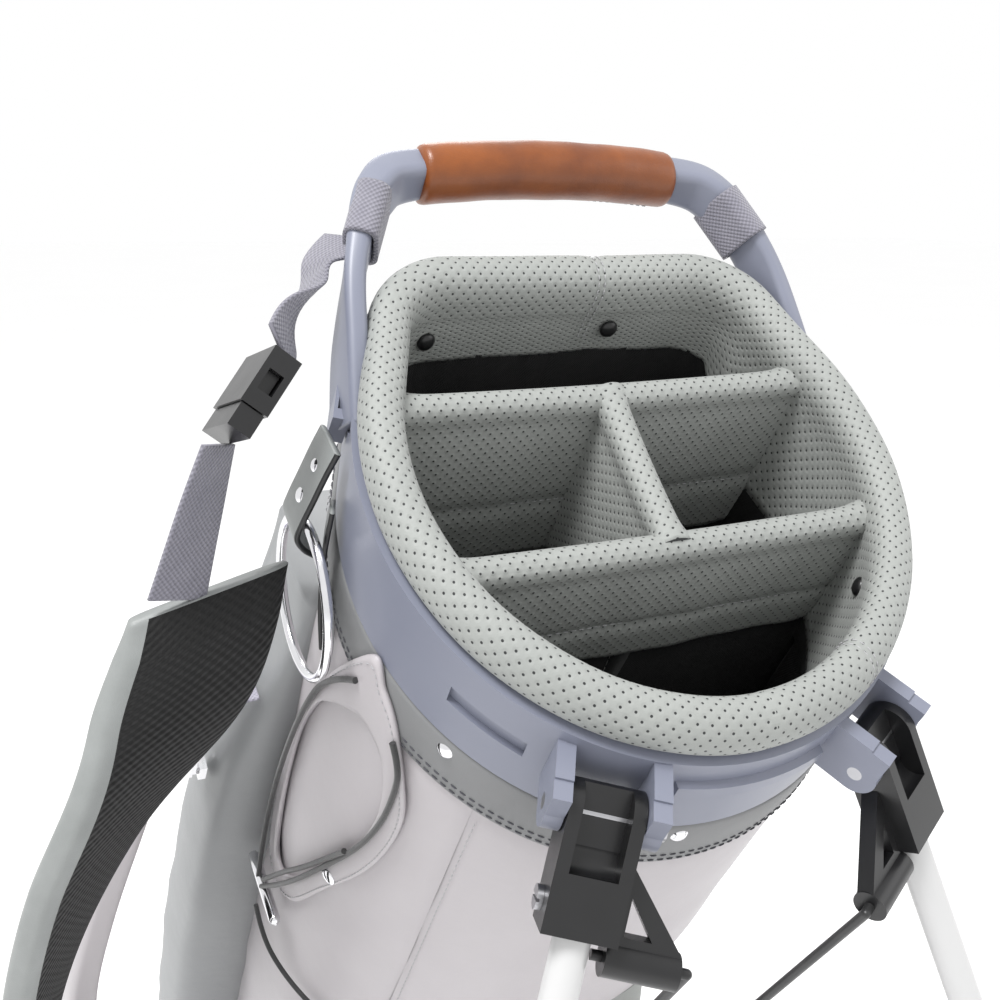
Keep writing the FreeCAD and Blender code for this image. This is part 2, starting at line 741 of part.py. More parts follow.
def strap_sleeve(side):
    """Webbing loop around a strut, where a shoulder strap starts."""
    a, b = arch_points()[2:4]
    along = b - a
    start = a + along * 0.42
    end = a + along * 0.92
    across = V(0.2, 0.25, -0.95)
    outer = ribbon([(start, across, ARCH_WIDTH + 7), (end, across, ARCH_WIDTH + 7)], ARCH_THICK + 5)
    hole = ribbon(
        [(a + along * 0.1, across, ARCH_WIDTH + 1.5), (a + along * 1.2, across, ARCH_WIDTH + 1.5)],
        ARCH_THICK + 1.2,
    )
    loop = one_solid(outer.cut(hole))
    return loop if side < 0 else mirror_x(loop)


# ---------------------------------------------------------------- left side trim

def ring_pivot():
    """Where the towel ring's wire passes through its tab, in the level frame."""
    return turned(Part.Vertex(V(-MOUTH_RADIUS - RING_STAND_OFF, 30, -46)), LEAN).Point


def ring_tab():
    """Leather tab on the left side; the towel ring hangs in its folded end."""
    pivot = ring_pivot()
    hook = RING_WIRE + 1.2
    near = -MOUTH_RADIUS - GAP
    tab = block(near - 3, near, 22, 38, -100, -24)
    tab = leaned(tab.fuse(block(near - RING_STAND_OFF - 1.5, near, 25, 35, -42, -26)))
    fold = Part.makeCylinder(hook + 2, 10, pivot - V(0, 5, 0), V(0, 1, 0))
    hole = Part.makeCylinder(hook, 40, pivot - V(0, 20, 0), V(0, 1, 0))
    return one_solid(tab.fuse(fold).cut(hole))


def towel_ring():
    """Wire ring that hangs straight down from the tab."""
    hoop = Part.makeTorus(RING_RADIUS, RING_WIRE, V(0, 0, 0), V(1, 0, 0))
    hoop.translate(ring_pivot() - V(0, 0, RING_RADIUS - 0.5))
    return hoop


def side_pocket(side, y0, y1, top, foot, deep, lip):
    """Closed pocket that swells outwards from the side of the body."""
    skin = MOUTH_RADIUS - PANEL_INSET + GAP
    profile = [
        V(-40, 0, top),
        V(-skin - lip, 0, top),
        V(-skin - deep * 0.75, 0, top - 110),
        V(-skin - deep, 0, (top + foot) / 2),
        V(-skin - deep * 0.8, 0, foot + 40),
        V(-skin - lip, 0, foot),
        V(-40, 0, foot),
    ]
    face = Part.Face(Part.makePolygon(profile + [profile[0]]))
    pocket = face.extrude(V(0, y1 - y0, 0))
    pocket.translate(V(0, y0, 0))
    pocket = one_solid(pocket.cut(prism(-PANEL_INSET + GAP, -BAG_LENGTH, 60)))
    return pocket if side < 0 else mirror_x(pocket)


def left_pocket():
    return side_pocket(-1, 30, 98, -150, -760, 44, 8)


def right_pocket():
    return side_pocket(1, 10, 98, -470, -770, 52, 14)


def valuables_pocket():
    return side_pocket(1, 18, 94, -160, -430, 26, 6)


def zip_point(side, y, z, top, foot, deep, lip):
    """Point on a side pocket's outer face at a given height."""
    skin = MOUTH_RADIUS - PANEL_INSET + GAP
    heights = [top, top - 110, (top + foot) / 2, foot + 40, foot]
    reaches = [lip, deep * 0.75, deep, deep * 0.8, lip]
    for i in range(4):
        if heights[i] >= z >= heights[i + 1]:
            share = (heights[i] - z) / (heights[i] - heights[i + 1])
            return V(side * (skin + reaches[i] + share * (reaches[i + 1] - reaches[i])), y, z)
    return V(side * skin, y, z)


LEFT_ZIP = [zip_point(-1, 50, z, -150, -760, 44, 8) for z in (-262, -452)]
RIGHT_ZIP = [zip_point(1, 50, z, -470, -770, 52, 14) for z in (-582, -618)]
VALUABLES_ZIP = [zip_point(1, 50, z, -160, -430, 26, 6) for z in (-272, -292)]


def zip_slider(rail, side):
    """Metal zip slider with a hanging leather pull, just off the pocket's face."""
    start, end = rail
    along = end - start
    along.normalize()
    out = V(0, 1, 0).cross(along)
    if out.x * side < 0:
        out = out * -1
    spin = FreeCAD.Rotation(V(0, 1, 0), out, along, "XYZ")
    frame = FreeCAD.Placement(start + out * 0.4, spin)
    body = block(-4, 4, 0, 4, 0, 10).fuse(block(-1.5, 1.5, 3.5, 7, 2, 8))
    eye = block(-2.5, 2.5, 7, 9, 1, 9)
    pull = block(-5, 5, 6.5, 9, 9, 44)
    slider = body.fuse([eye, pull])
    slider.Placement = frame
    return one_solid(slider)


def loop_patch():
    """Teardrop loop of leather on the left side of the body, which the cord threads."""
    turn = math.radians(PATCH_TURN)
    out = V(-math.cos(turn), -math.sin(turn), 0)
    across = V(math.sin(turn), -math.cos(turn), 0)
    points = [across * s + V(0, 0, z) for s, z in PATCH_OUTLINE]
    curve = Part.BSplineCurve()
    curve.interpolate(Points=points, PeriodicFlag=True)
    blank = Part.Face(Part.makePolygon(curve.discretize(Number=PATCH_SIDES + 1)))
    window = blank.makeOffset2D(-PATCH_BAND, join=2)
    blank = blank.cut(window)
    blank.translate(out * (MOUTH_RADIUS - 40))
    band = below_mouth(ring(1.6, -PANEL_INSET + GAP, -330, -60), SKIRT_FOOT - GAP)
    return one_solid(blank.extrude(out * 60).common(band))


# ---------------------------------------------------------------- straps, in the level frame

def strap_stations(rows):
    """Stations from rows of (x, y, z, across x, across y, across z, width)."""
    return [(V(*row[:3]), V(*row[3:6]), row[6]) for row in rows]


UPPER_WEB = [
    (-114, 78, 78, 0.3, 0.8, 0.5, WEB_WIDTH),
    (-122, 70, 67, 0.3, 0.9, 0.3, WEB_WIDTH),
    (-134, 55, 56, 0.5, 0.8, 0.1, WEB_WIDTH),
    (-142, 43, 47, 0.6, 0.75, -0.2, WEB_WIDTH),
]
LOWER_WEB = [
    (-170, 32, 14, 0.6, 0.75, -0.2, WEB_WIDTH),
    (-179, 33, -14, 0.8, 0.5, 0.1, WEB_WIDTH),
    (-188, 37, -46, 0.88, 0.2, 0.3, WEB_WIDTH),
]
OUTER_PAD = [
    (-190, 40, -52, 0.88, 0.1, 0.42, PAD_WIDTH),
    (-203, 46, -100, 0.85, 0.3, 0.35, PAD_WIDTH + 10),
    (-226, 58, -160, 0.7, 0.65, 0.2, PAD_WIDTH + 10),
    (-247, 76, -225, 0.45, 0.88, 0.05, PAD_WIDTH + 8),
    (-256, 100, -290, 0.2, 0.97, 0, PAD_WIDTH + 6),
    (-250, 130, -350, 0.1, 0.97, 0.15, PAD_WIDTH),
    (-238, 155, -395, 0, 0.96, 0.25, WEB_WIDTH + 8),
]
INNER_WEB = [
    (-139.5, 127, -126, 0.15, 0.95, 0.2, WEB_WIDTH),
    (-152, 128, -128, 0.15, 0.95, 0.2, WEB_WIDTH),
    (-170, 130, -134, 0.15, 0.95, 0.2, WEB_WIDTH),
    (-184, 133, -146, 0.1, 0.98, 0.1, WEB_WIDTH),
]
INNER_PAD = [
    (-186, 137, -152, 0.1, 0.98, 0.1, WEB_WIDTH + 6),
    (-200, 150, -190, 0.1, 0.98, 0.05, PAD_WIDTH - 12),
    (-217, 162, -240, 0.05, 0.98, 0.1, PAD_WIDTH - 12),
    (-229, 175, -290, 0, 0.98, 0.15, PAD_WIDTH - 12),
    (-230, 190, -340, 0, 0.97, 0.2, PAD_WIDTH - 14),
    (-224, 203, -384, 0, 0.96, 0.25, WEB_WIDTH + 8),
]
TAIL_WEB = [
    (-231, 184, -424, 0, 0.88, 0.45, WEB_WIDTH),
    (-205, 230, -470, 0, 0.86, 0.5, WEB_WIDTH),
    (-170, 288, -524, 0, 0.85, 0.53, WEB_WIDTH),
    (-142, 335, -566, 0, 0.85, 0.53, WEB_WIDTH),
    (-127.5, 362, -588, 0, 0.85, 0.53, WEB_WIDTH),
]


def web(rows):
    return ribbon(strap_stations(rows), WEB_THICK)


def shoulder_pad(rows):
    return ribbon(strap_stations(rows), PAD_THICK)


def buckle_frame(start, end):
    """Placement with +Z from one strap end to the next and +X across the strap."""
    along = end - start
    return FreeCAD.Placement(start, FreeCAD.Rotation(V(0.1, 0.9, 0), V(0, 0, 0), along, "ZXY"))


def buckle_socket():
    """Socket half of the side-release buckle, open at its lower end."""
    start = V(*UPPER_WEB[-1][:3])
    end = V(*LOWER_WEB[0][:3])
    half = WEB_WIDTH / 2 + 5
    shell = block(-half, half, -6, 6, 5.5, 30)
    shell = shell.cut(block(-half + 3, half - 3, -3.2, 3.2, 10, 31))
    for x in (-half - 1, half - 4):
        shell = shell.cut(block(x, x + 5, -3.2, 3.2, 14, 23))
    shell.Placement = buckle_frame(start, end)
    return one_solid(shell)


def buckle_plug():
    """Plug half of the buckle: a bar for the strap and three prongs."""
    start = V(*UPPER_WEB[-1][:3])
    end = V(*LOWER_WEB[0][:3])
    length = (end - start).Length
    half = WEB_WIDTH / 2 + 4
    base = block(-half, half, -5, 5, 30.4, length - 4.5)
    tongue = block(-2, 2, -2.5, 2.5, 14, 31)
    prongs = [block(x, x + 3.2, -2.5, 2.5, 13, 31) for x in (-half + 2.6, half - 5.8)]
    plug = base.fuse([tongue] + prongs)
    plug.Placement = buckle_frame(start, end)
    return one_solid(plug)


def strap_joiner():
    """Bar slide that joins the two pads to the tail."""
    start = V(*OUTER_PAD[-1][:3])
    end = V(*INNER_PAD[-1][:3])
    middle = (start + end) * 0.5 + V(0, 2, -20)
    return block(middle.x - 18, middle.x + 18, middle.y - 26, middle.y + 26, middle.z - 4, middle.z + 4)


# ---------------------------------------------------------------- cord

TOGGLE_CENTRE = (-134, 2, -324)
LEFT_CORD = [
    (-125.5, -26, -92), (-129, -12, -106), (-129, 3, -130), (-129, 14, -168),
    (-129.5, 20, -212), (-130, 21, -256), (-132, 14, -292), (-134, 7, -316),
]
RIGHT_CORD = [
    (-115, -56, -102), (-114, -60, -122), (-116, -58, -150), (-119, -52, -180),
    (-122, -43, -212), (-126, -30, -250), (-131, -14, -286), (-134, -4, -314),
]
LOWER_CORD = [
    (-134, 0, -330), (-132, -12, -345), (-125, -32, -352), (-114.5, -57, -349), (-98.5, -82.5, -345), (-74, -105.5, -342),
]


def cord_tube(route):
    return tube_path([V(*point) for point in route], CORD_RADIUS)


def cord_toggle():
    """Metal bar that joins the cord's loop to its tail."""
    centre = V(*TOGGLE_CENTRE)
    along = V(0, 0.98, -0.18)
    along.normalize()
    bar = Part.makeCylinder(3.2, 46, centre - along * 23, along)
    eye = Part.makeCylinder(5.0, 7, centre - V(3.5, 0, 0), V(1, 0, 0))
    return one_solid(bar.fuse(eye))


def cord_eyelet():
    """Eyelet on the front panel where the cord's tail goes in."""
    tail = V(*LOWER_CORD[-1])
    out = V(tail.x, tail.y, 0)
    out.normalize()
    cup = Part.makeCylinder(5.5, 14, V(0, 0, tail.z) + out * (MOUTH_RADIUS - 8), out)
    cup = cup.common(ring(2.5, -PANEL_INSET + 0.1, -400, -300))
    return one_solid(cup.cut(cord_tube(LOWER_CORD)[0]))


# ---------------------------------------------------------------- assembly

def bag_pieces():
    """Every piece that is drawn in the bag frame."""
    reach = 2 * MOUTH_RADIUS
    pieces = {
        "collar_frame": collar_frame(),
        "collar_skirt": collar_skirt(),
        "collar_rivets": rivets(),
        "cuff_pad": cuff_pad(),
        "cuff_snaps": snaps(),
        "rear_divider_sleeve": divider_sleeve(REAR_DIVIDER),
        "rear_divider_cloth": divider_cloth(REAR_DIVIDER),
        "front_divider_sleeve": divider_sleeve(FRONT_DIVIDER),
        "front_divider_cloth": divider_cloth(FRONT_DIVIDER),
        "middle_divider_sleeve": middle_sleeve(),
        "divider_cores": Part.makeCompound([divider_core(y) for y in (REAR_DIVIDER, FRONT_DIVIDER)] + [middle_core()]),
        "middle_divider_cloth": middle_cloth(),
        "body_front_panel": panel(0, -reach, SEAM_FRONT - GAP),
        "body_left_panel": panel(-1, SEAM_FRONT, SEAM_BACK),
        "body_right_panel": panel(1, SEAM_FRONT, SEAM_BACK),
        "body_back_panel": panel(0, SEAM_BACK + GAP, reach),
        "body_liner": body_liner(),
        "base_cap": base_cap(),
        "stand_foot": stand_foot(),
        "stand_foot_pin": foot_pin(),
        "leg_hinge_pins": Part.makeCompound([hinge_pin(-1), hinge_pin(1)]),
        "hip_pad": hip_pad(),
        "handle_arch": handle_arch(),
        "handle_grip": handle_grip(),
        "left_strap_sleeve": strap_sleeve(-1),
        "right_strap_sleeve": strap_sleeve(1),
        "left_pocket": left_pocket(),
        "left_zip_slider": zip_slider(LEFT_ZIP, -1),
        "right_pocket": right_pocket(),
        "right_zip_slider": zip_slider(RIGHT_ZIP, 1),
        "valuables_pocket": valuables_pocket(),
        "valuables_zip_slider": zip_slider(VALUABLES_ZIP, 1),
        "loop_patch": loop_patch(),
        "cord_toggle": cord_toggle(),
        "cord_eyelet": cord_eyelet(),
        "cord_left": cord_tube(LEFT_CORD)[0],
        "cord_right": cord_tube(RIGHT_CORD)[0],
        "cord_lower": cord_tube(LOWER_CORD)[0],
    }
    for name, side in (("left", -1), ("right", 1)):
        pieces[name + "_leg_bracket"] = leg_bracket(side)
        pieces[name + "_bracket_screw"] = bracket_screw(side)
        pieces[name + "_leg_tube"] = leg_tube(side)
        pieces[name + "_leg_boot"] = leg_boot(side)
        pieces[name + "_lift_rod"] = lift_rod(side)
    return pieces


def level_pieces():
    """Every piece that is drawn in the level frame."""
    return {
        "ring_tab": ring_tab(),
        "towel_ring": towel_ring(),
        "strap_upper_web": web(UPPER_WEB),
        "strap_lower_web": web(LOWER_WEB),
        "strap_inner_web": web(INNER_WEB),
        "strap_tail_web": web(TAIL_WEB),
        "outer_shoulder_pad": shoulder_pad(OUTER_PAD),
        "inner_shoulder_pad": shoulder_pad(INNER_PAD),
        "strap_joiner": strap_joiner(),
        "buckle_socket": buckle_socket(),
        "buckle_plug": buckle_plug(),
    }


def all_pieces():
    """Every piece in the level frame, with the floor at its own height."""
    pieces = {name: leaned(shape) for name, shape in bag_pieces().items()}
    pieces.update(level_pieces())
    return pieces


def ground_shift(pieces):
    """Move that puts the origin at the bottom centre of everything but the cord."""
    total = FreeCAD.BoundBox()
    for name, shape in pieces.items():
        if not name.startswith("cord"):
            total.add(shape.BoundBox)
    return V(-(total.XMin + total.XMax) / 2, -(total.YMin + total.YMax) / 2, -floor_height())


def main():
    os.makedirs("parts", exist_ok=True)
    pieces = all_pieces()
    shift = ground_shift(pieces)
    for name, shape in pieces.items():
        placed = shape.copy()
        placed.translate(shift)
        placed.exportStep("parts/" + name + ".step")
    for route in (LEFT_CORD, RIGHT_CORD, LOWER_CORD):
        print("cord arc radii", [round(radius, 1) for radius in cord_tube(route)[1]])
    print("moved by", shift)


main()
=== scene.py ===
"""Golf stand bag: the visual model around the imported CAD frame."""

import json
from math import copysign, cos, exp, hypot, pi, radians, sin, tan

import bpy
from mathutils import Matrix, Vector


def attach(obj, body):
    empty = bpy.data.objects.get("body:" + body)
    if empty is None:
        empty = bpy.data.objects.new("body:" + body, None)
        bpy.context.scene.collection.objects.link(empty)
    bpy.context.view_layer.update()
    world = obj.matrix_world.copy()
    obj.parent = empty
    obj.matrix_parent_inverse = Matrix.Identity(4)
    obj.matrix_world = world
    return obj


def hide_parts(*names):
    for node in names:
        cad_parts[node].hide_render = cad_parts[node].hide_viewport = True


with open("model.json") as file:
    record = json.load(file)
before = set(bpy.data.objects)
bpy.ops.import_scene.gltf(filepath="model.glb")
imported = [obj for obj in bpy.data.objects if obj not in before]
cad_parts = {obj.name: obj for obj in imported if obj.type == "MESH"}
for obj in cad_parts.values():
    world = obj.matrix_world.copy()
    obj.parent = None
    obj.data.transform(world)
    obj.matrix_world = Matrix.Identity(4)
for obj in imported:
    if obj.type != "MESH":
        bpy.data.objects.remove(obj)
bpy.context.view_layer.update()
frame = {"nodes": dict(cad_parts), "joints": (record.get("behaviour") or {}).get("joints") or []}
JOINTS = {joint["name"]: joint for joint in frame["joints"]}
NODES = frame["nodes"]

# ------------------------------------------------------------------ frames
# bag(): millimetres from the mouth's centre, +Z along the bag and out of its mouth, before it leans.
# level(): millimetres from the mouth's centre, +Z straight up. Both return scene points in metres.
MM = 0.001
MOUTH_TILT = radians(13.0)
LEAN = radians(32.0)
HINGE_IN_BAG = Vector((-64.787, -121.8468, -52.0005))


def turned(p, angle):
    """A point or direction turned about the X axis."""
    c, s = cos(angle), sin(angle)
    return Vector((p[0], p[1] * c - p[2] * s, p[1] * s + p[2] * c))


SHIFT = Vector(JOINTS["left_leg_fold"]["pos_m"]) - turned(HINGE_IN_BAG, LEAN) * MM


def level(x, y, z):
    return Vector((x, y, z)) * MM + SHIFT


def bag(x, y, z):
    return turned((x, y, z), LEAN) * MM + SHIFT


def mouth_height(y, z):
    """Bag-frame height of a point at bag-frame y whose height along the mouth's normal is z."""
    return y * tan(MOUTH_TILT) + z / cos(MOUTH_TILT)


def add_object(name, data):
    made = bpy.data.objects.new(name, data)
    bpy.context.scene.collection.objects.link(made)
    return made


# ------------------------------------------------------------------ camera
CAMERA_SPOT = (-256.2, -383.2, 99.6)
FOCAL_LENGTH = 40.49
VIEW_RIGHT = Vector((0.9027, -0.4302, 0.0055))
VIEW_BACK = Vector((-0.4168, -0.8714, 0.2587))
NUDGE_RIGHT, NUDGE_UP = 0.00845, 0.0089

camera_data = bpy.data.cameras.new("camera")
camera = add_object("camera", camera_data)
camera_data.sensor_width = 36.0
camera_data.lens = FOCAL_LENGTH
camera_data.clip_start = 0.01
camera_data.clip_end = 100.0
right = VIEW_RIGHT.normalized()
back = (VIEW_BACK - right * VIEW_BACK.dot(right)).normalized()
up = back.cross(right)
back = (back - right * NUDGE_RIGHT - up * NUDGE_UP).normalized()
right = (right - back * right.dot(back)).normalized()
up = back.cross(right)
camera.matrix_world = Matrix((
    (right.x, up.x, back.x, 0), (right.y, up.y, back.y, 0), (right.z, up.z, back.z, 0), (0, 0, 0, 1)))
camera.matrix_world.translation = level(*CAMERA_SPOT)
bpy.context.scene.camera = camera


# ------------------------------------------------------------------ materials
def node_material(name, base, rough, alt=None, mottle=25.0, metallic=0.0, layers=(), sheen=0.0, coat=0.0,
                  rough_vary=0.0, holes=None, weave_valley_shade=0.0):
    """Procedural material, in mm: layers are (kind, size, height), holes is (pitch, radius, colour of the
    painted shade inside each hole).
    """
    mat = bpy.data.materials.new(name)
    mat.use_nodes = True
    tree = mat.node_tree
    shader = tree.nodes["Principled BSDF"]
    link = tree.links.new

    def node(kind, **values):
        made = tree.nodes.new(kind)
        for key, value in values.items():
            setattr(made, key, value)
        return made

    def maths(operation, *values, clamp=False):
        made = node("ShaderNodeMath", operation=operation, use_clamp=clamp)
        for i, value in enumerate(values):
            if isinstance(value, (int, float)):
                made.inputs[i].default_value = value
            else:
                link(value, made.inputs[i])
        return made.outputs[0]

    def noise_texture(scale, detail):
        made = node("ShaderNodeTexNoise")
        made.inputs["Scale"].default_value = scale
        made.inputs["Detail"].default_value = detail
        link(place.outputs["Object"], made.inputs["Vector"])
        return made

    def vector_maths(operation, source, *values):
        made = node("ShaderNodeVectorMath", operation=operation)
        link(source, made.inputs[0])
        for i, value in enumerate(values, 1):
            made.inputs[i].default_value = value
        return made.outputs

    place = node("ShaderNodeTexCoord")
    settings = {
        "Base Color": (*base, 1), "Metallic": metallic, "Roughness": rough, "Sheen Weight": sheen,
        "Sheen Roughness": 0.5, "Coat Weight": coat, "Coat Roughness": 0.25}
    for socket, value in settings.items():
        shader.inputs[socket].default_value = value
    noise = noise_texture(mottle, 6)
    noise.inputs["Roughness"].default_value = 0.6
    ramp = node("ShaderNodeValToRGB")
    ramp.color_ramp.elements[0].position = 0.3
    ramp.color_ramp.elements[0].color = (*base, 1)
    ramp.color_ramp.elements[1].position = 0.75
    ramp.color_ramp.elements[1].color = (*(alt or [c * 0.9 for c in base]), 1)
    link(noise.outputs["Fac"], ramp.inputs["Fac"])
    colour = ramp.outputs["Color"]
    if rough_vary:
        spread = maths("MULTIPLY_ADD", noise.outputs["Fac"], rough_vary, rough - rough_vary / 2)
        link(spread, shader.inputs["Roughness"])
    height = None

    def add_height(value, amount):
        nonlocal height
        scaled = maths("MULTIPLY", value, amount)
        height = scaled if height is None else maths("ADD", height, scaled)

    for kind, size, amount in layers:
        if kind == "noise":
            add_height(noise_texture(1000.0 / size, 4).outputs["Fac"], amount)
        elif kind == "grain":
            tex = node("ShaderNodeTexVoronoi", feature="DISTANCE_TO_EDGE")
            tex.inputs["Scale"].default_value = 1000.0 / size
            link(place.outputs["Object"], tex.inputs["Vector"])
            add_height(maths("MINIMUM", tex.outputs["Distance"], 0.25), amount * 4)
        elif kind in ("weave", "mesh"):
            split = node("ShaderNodeSeparateXYZ")
            link(place.outputs["UV"], split.inputs[0])
            across = maths("SINE", maths("MULTIPLY", split.outputs[0], 2000 * pi / size))
            along = maths("SINE", maths("MULTIPLY", split.outputs[1], 2000 * pi / size))
            cross = maths("MULTIPLY", across, along)
            add_height(cross, amount)
            # painted shade: where the weave's bump is low its colour is darkened, standing in for the shade
            # in the valleys between threads
            if weave_valley_shade:
                shade = maths("MULTIPLY_ADD", cross, weave_valley_shade / 2, 1 - weave_valley_shade / 2)
                mixed = node("ShaderNodeMix", data_type="RGBA", blend_type="MULTIPLY")
                mixed.inputs["Factor"].default_value = 1.0
                link(colour, mixed.inputs["A"])
                link(shade, mixed.inputs["B"])
                colour = mixed.outputs["Result"]
    # painted shade: each perforation is a dimple in the bump whose colour is darkened to stand in for the
    # shade inside the hole
    if holes:
        pitch, radius, hole_shade = holes
        nearest = None
        for offset in (0.0, 0.5):
            cells = (1000.0 / pitch, 1000.0 / pitch, 0)
            cell = vector_maths("MULTIPLY_ADD", place.outputs["UV"], cells, (offset, offset, 0))
            centred = vector_maths("SUBTRACT", vector_maths("FRACTION", cell[0])[0], (0.5, 0.5, 0))
            reach = vector_maths("LENGTH", centred[0])["Value"]
            nearest = reach if nearest is None else maths("MINIMUM", nearest, reach)
        edge = radius / pitch
        hole = maths("MULTIPLY", maths("SUBTRACT", edge * 1.15, nearest), 1 / (edge * 0.3), clamp=True)
        mixed = node("ShaderNodeMix", data_type="RGBA")
        link(hole, mixed.inputs["Factor"])
        link(colour, mixed.inputs["A"])
        mixed.inputs["B"].default_value = (*hole_shade, 1)
        colour = mixed.outputs["Result"]
        dimple = maths("MULTIPLY", maths("SUBTRACT", nearest, edge), 1 / 0.18, clamp=True)
        add_height(dimple, 0.22)
    link(colour, shader.inputs["Base Color"])
    if height is not None:
        bump = node("ShaderNodeBump")
        bump.inputs["Strength"].default_value = 1.0
        bump.inputs["Distance"].default_value = 0.001
        link(height, bump.inputs["Height"])
        link(bump.outputs["Normal"], shader.inputs["Normal"])
    return mat


# colour of the painted shade inside the cuff's perforations
PERFORATION_SHADE = (0.012, 0.013, 0.014)
M = {
    "cuff": node_material("cuff_leatherette", (0.31, 0.322, 0.308), 0.6, (0.285, 0.297, 0.285), 18,
                          layers=(("grain", 0.9, 0.03), ("noise", 9, 0.25)), holes=(5.2, 0.5, PERFORATION_SHADE),
                          sheen=0.1, rough_vary=0.12),
    "cuff_plain": node_material("cuff_piping", (0.29, 0.302, 0.29), 0.6, (0.265, 0.275, 0.265), 30,
                                layers=(("grain", 0.9, 0.03),), sheen=0.1),
    "plastic": node_material("lilac_plastic", (0.20, 0.212, 0.268), 0.4, (0.185, 0.197, 0.252), 12,
                             layers=(("noise", 0.5, 0.012),), rough_vary=0.15, coat=0.15),
    "skirt": node_material("grey_band_leather", (0.20, 0.203, 0.207), 0.5, (0.18, 0.183, 0.187), 20,
                           layers=(("grain", 0.8, 0.03), ("noise", 4, 0.08)), rough_vary=0.15),
    "white": node_material("white_leather", (0.47, 0.445, 0.46), 0.46, (0.43, 0.405, 0.42), 9,
                           layers=(("grain", 0.8, 0.02), ("noise", 12, 0.35)), rough_vary=0.12, coat=0.05),
    "grey": node_material("grey_leather", (0.27, 0.277, 0.282), 0.46, (0.24, 0.247, 0.252), 9,
                          layers=(("grain", 0.8, 0.02), ("noise", 10, 0.3)), rough_vary=0.12),
    "tab": node_material("tab_leather", (0.26, 0.272, 0.268), 0.42, (0.22, 0.232, 0.228), 60,
                         layers=(("grain", 0.8, 0.03),), rough_vary=0.1),
    "pink": node_material("pink_leather", (0.45, 0.28, 0.28), 0.5, (0.40, 0.245, 0.25), 9,
                          layers=(("grain", 0.8, 0.02), ("noise", 10, 0.3)), rough_vary=0.12),
    "cognac": node_material("cognac_leather", (0.25, 0.066, 0.007), 0.36, (0.13, 0.030, 0.004), 34,
                            layers=(("grain", 1.0, 0.035), ("noise", 2.2, 0.10)), rough_vary=0.22, coat=0.2),
    "lining": node_material("black_lining", (0.003, 0.003, 0.0035), 0.95, (0.005, 0.005, 0.0055), 40,
                            layers=(("weave", 1.2, 0.10), ("noise", 7, 0.6)), sheen=0.05),
    # the webbings and the air mesh carry painted shade in the valleys of their weave
    "web": node_material("lilac_webbing", (0.27, 0.262, 0.31), 0.7, (0.22, 0.214, 0.26), 90,
                         layers=(("weave", 2.4, 0.22),), sheen=0.3, weave_valley_shade=0.4),
    "white_web": node_material("pale_webbing", (0.42, 0.405, 0.48), 0.7, (0.37, 0.355, 0.43), 90,
                               layers=(("weave", 2.4, 0.2),), sheen=0.3, weave_valley_shade=0.3),
    "mesh": node_material("black_air_mesh", (0.005, 0.005, 0.005), 0.85, (0.009, 0.009, 0.009), 60,
                          layers=(("mesh", 4.2, 0.55),), sheen=0.05, weave_valley_shade=0.5),
    "black": node_material("black_plastic", (0.006, 0.006, 0.0065), 0.33, (0.009, 0.009, 0.01), 40,
                           layers=(("noise", 0.5, 0.015),), rough_vary=0.15, coat=0.1),
    "chrome": node_material("chrome", (0.82, 0.82, 0.84), 0.12, (0.74, 0.74, 0.76), 60, metallic=1.0,
                            layers=(("noise", 3, 0.01),), rough_vary=0.08),
    "steel": node_material("steel", (0.5, 0.5, 0.52), 0.3, (0.42, 0.42, 0.44), 80, metallic=1.0,
                           layers=(("noise", 0.6, 0.01),), rough_vary=0.12),
    "wire": node_material("black_wire", (0.015, 0.015, 0.016), 0.35, (0.03, 0.03, 0.03), 50,
                          layers=(("noise", 1, 0.01),)),
    "leg": node_material("white_tube", (0.58, 0.58, 0.58), 0.3, (0.54, 0.54, 0.54), 8,
                         layers=(("noise", 0.7, 0.006),), rough_vary=0.1, coat=0.3),
    "rubber": node_material("black_rubber", (0.018, 0.018, 0.018), 0.75, (0.03, 0.03, 0.03), 30,
                            layers=(("noise", 1.2, 0.05),)),
    "cord": node_material("black_cord", (0.012, 0.012, 0.013), 0.65, (0.03, 0.03, 0.03), 300,
                          layers=(("noise", 0.8, 0.12),), sheen=0.3),
    "thread": node_material("dark_thread", (0.05, 0.05, 0.06), 0.7, (0.09, 0.09, 0.1), 500),
    "pale_thread": node_material("pale_thread", (0.42, 0.42, 0.43), 0.7, (0.36, 0.36, 0.37), 500),
    "core": node_material("core_plastic", (0.05, 0.05, 0.05), 0.5, (0.07, 0.07, 0.07), 40),
}


# ------------------------------------------------------------------ mesh tools
def catmull(points, count, closed=False):
    """Evenly numbered points on a smooth curve through the given ones, each a tuple of numbers."""
    n = len(points)
    spans = n if closed else n - 1
    total = count if closed else count - 1
    out = []
    for k in range(count):
        t = k * spans / total
        i = min(int(t), spans - 1)
        f = t - i
        if closed:
            p = [points[(i + d) % n] for d in (-1, 0, 1, 2)]
        else:
            p = [points[min(max(i + d, 0), n - 1)] for d in (-1, 0, 1, 2)]
        row = []
        for a, b, c, d in zip(*p):
            row.append(0.5 * (2 * b + (c - a) * f + (2 * a - 5 * b + 4 * c - d) * f * f
                              + (3 * b - a - 3 * c + d) * f ** 3))
        out.append(tuple(row))
    return out


def mesh_piece(name, verts, faces, body, material, uvs=None, marks=None):
    data = bpy.data.meshes.new(name)
    data.from_pydata([tuple(v) for v in verts], [], faces)
    materials = material if isinstance(material, (list, tuple)) else [material]
    for mat in materials:
        data.materials.append(mat)
    if uvs:
        layer = data.uv_layers.new(name="UVMap")
        flat = [value for face in uvs for uv in face for value in uv]
        layer.data.foreach_set("uv", flat)
    if marks:
        data.polygons.foreach_set("material_index", marks)
    data.polygons.foreach_set("use_smooth", [True] * len(data.polygons))
    data.update()
    piece = add_object(name, data)
    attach(piece, body)
    return piece


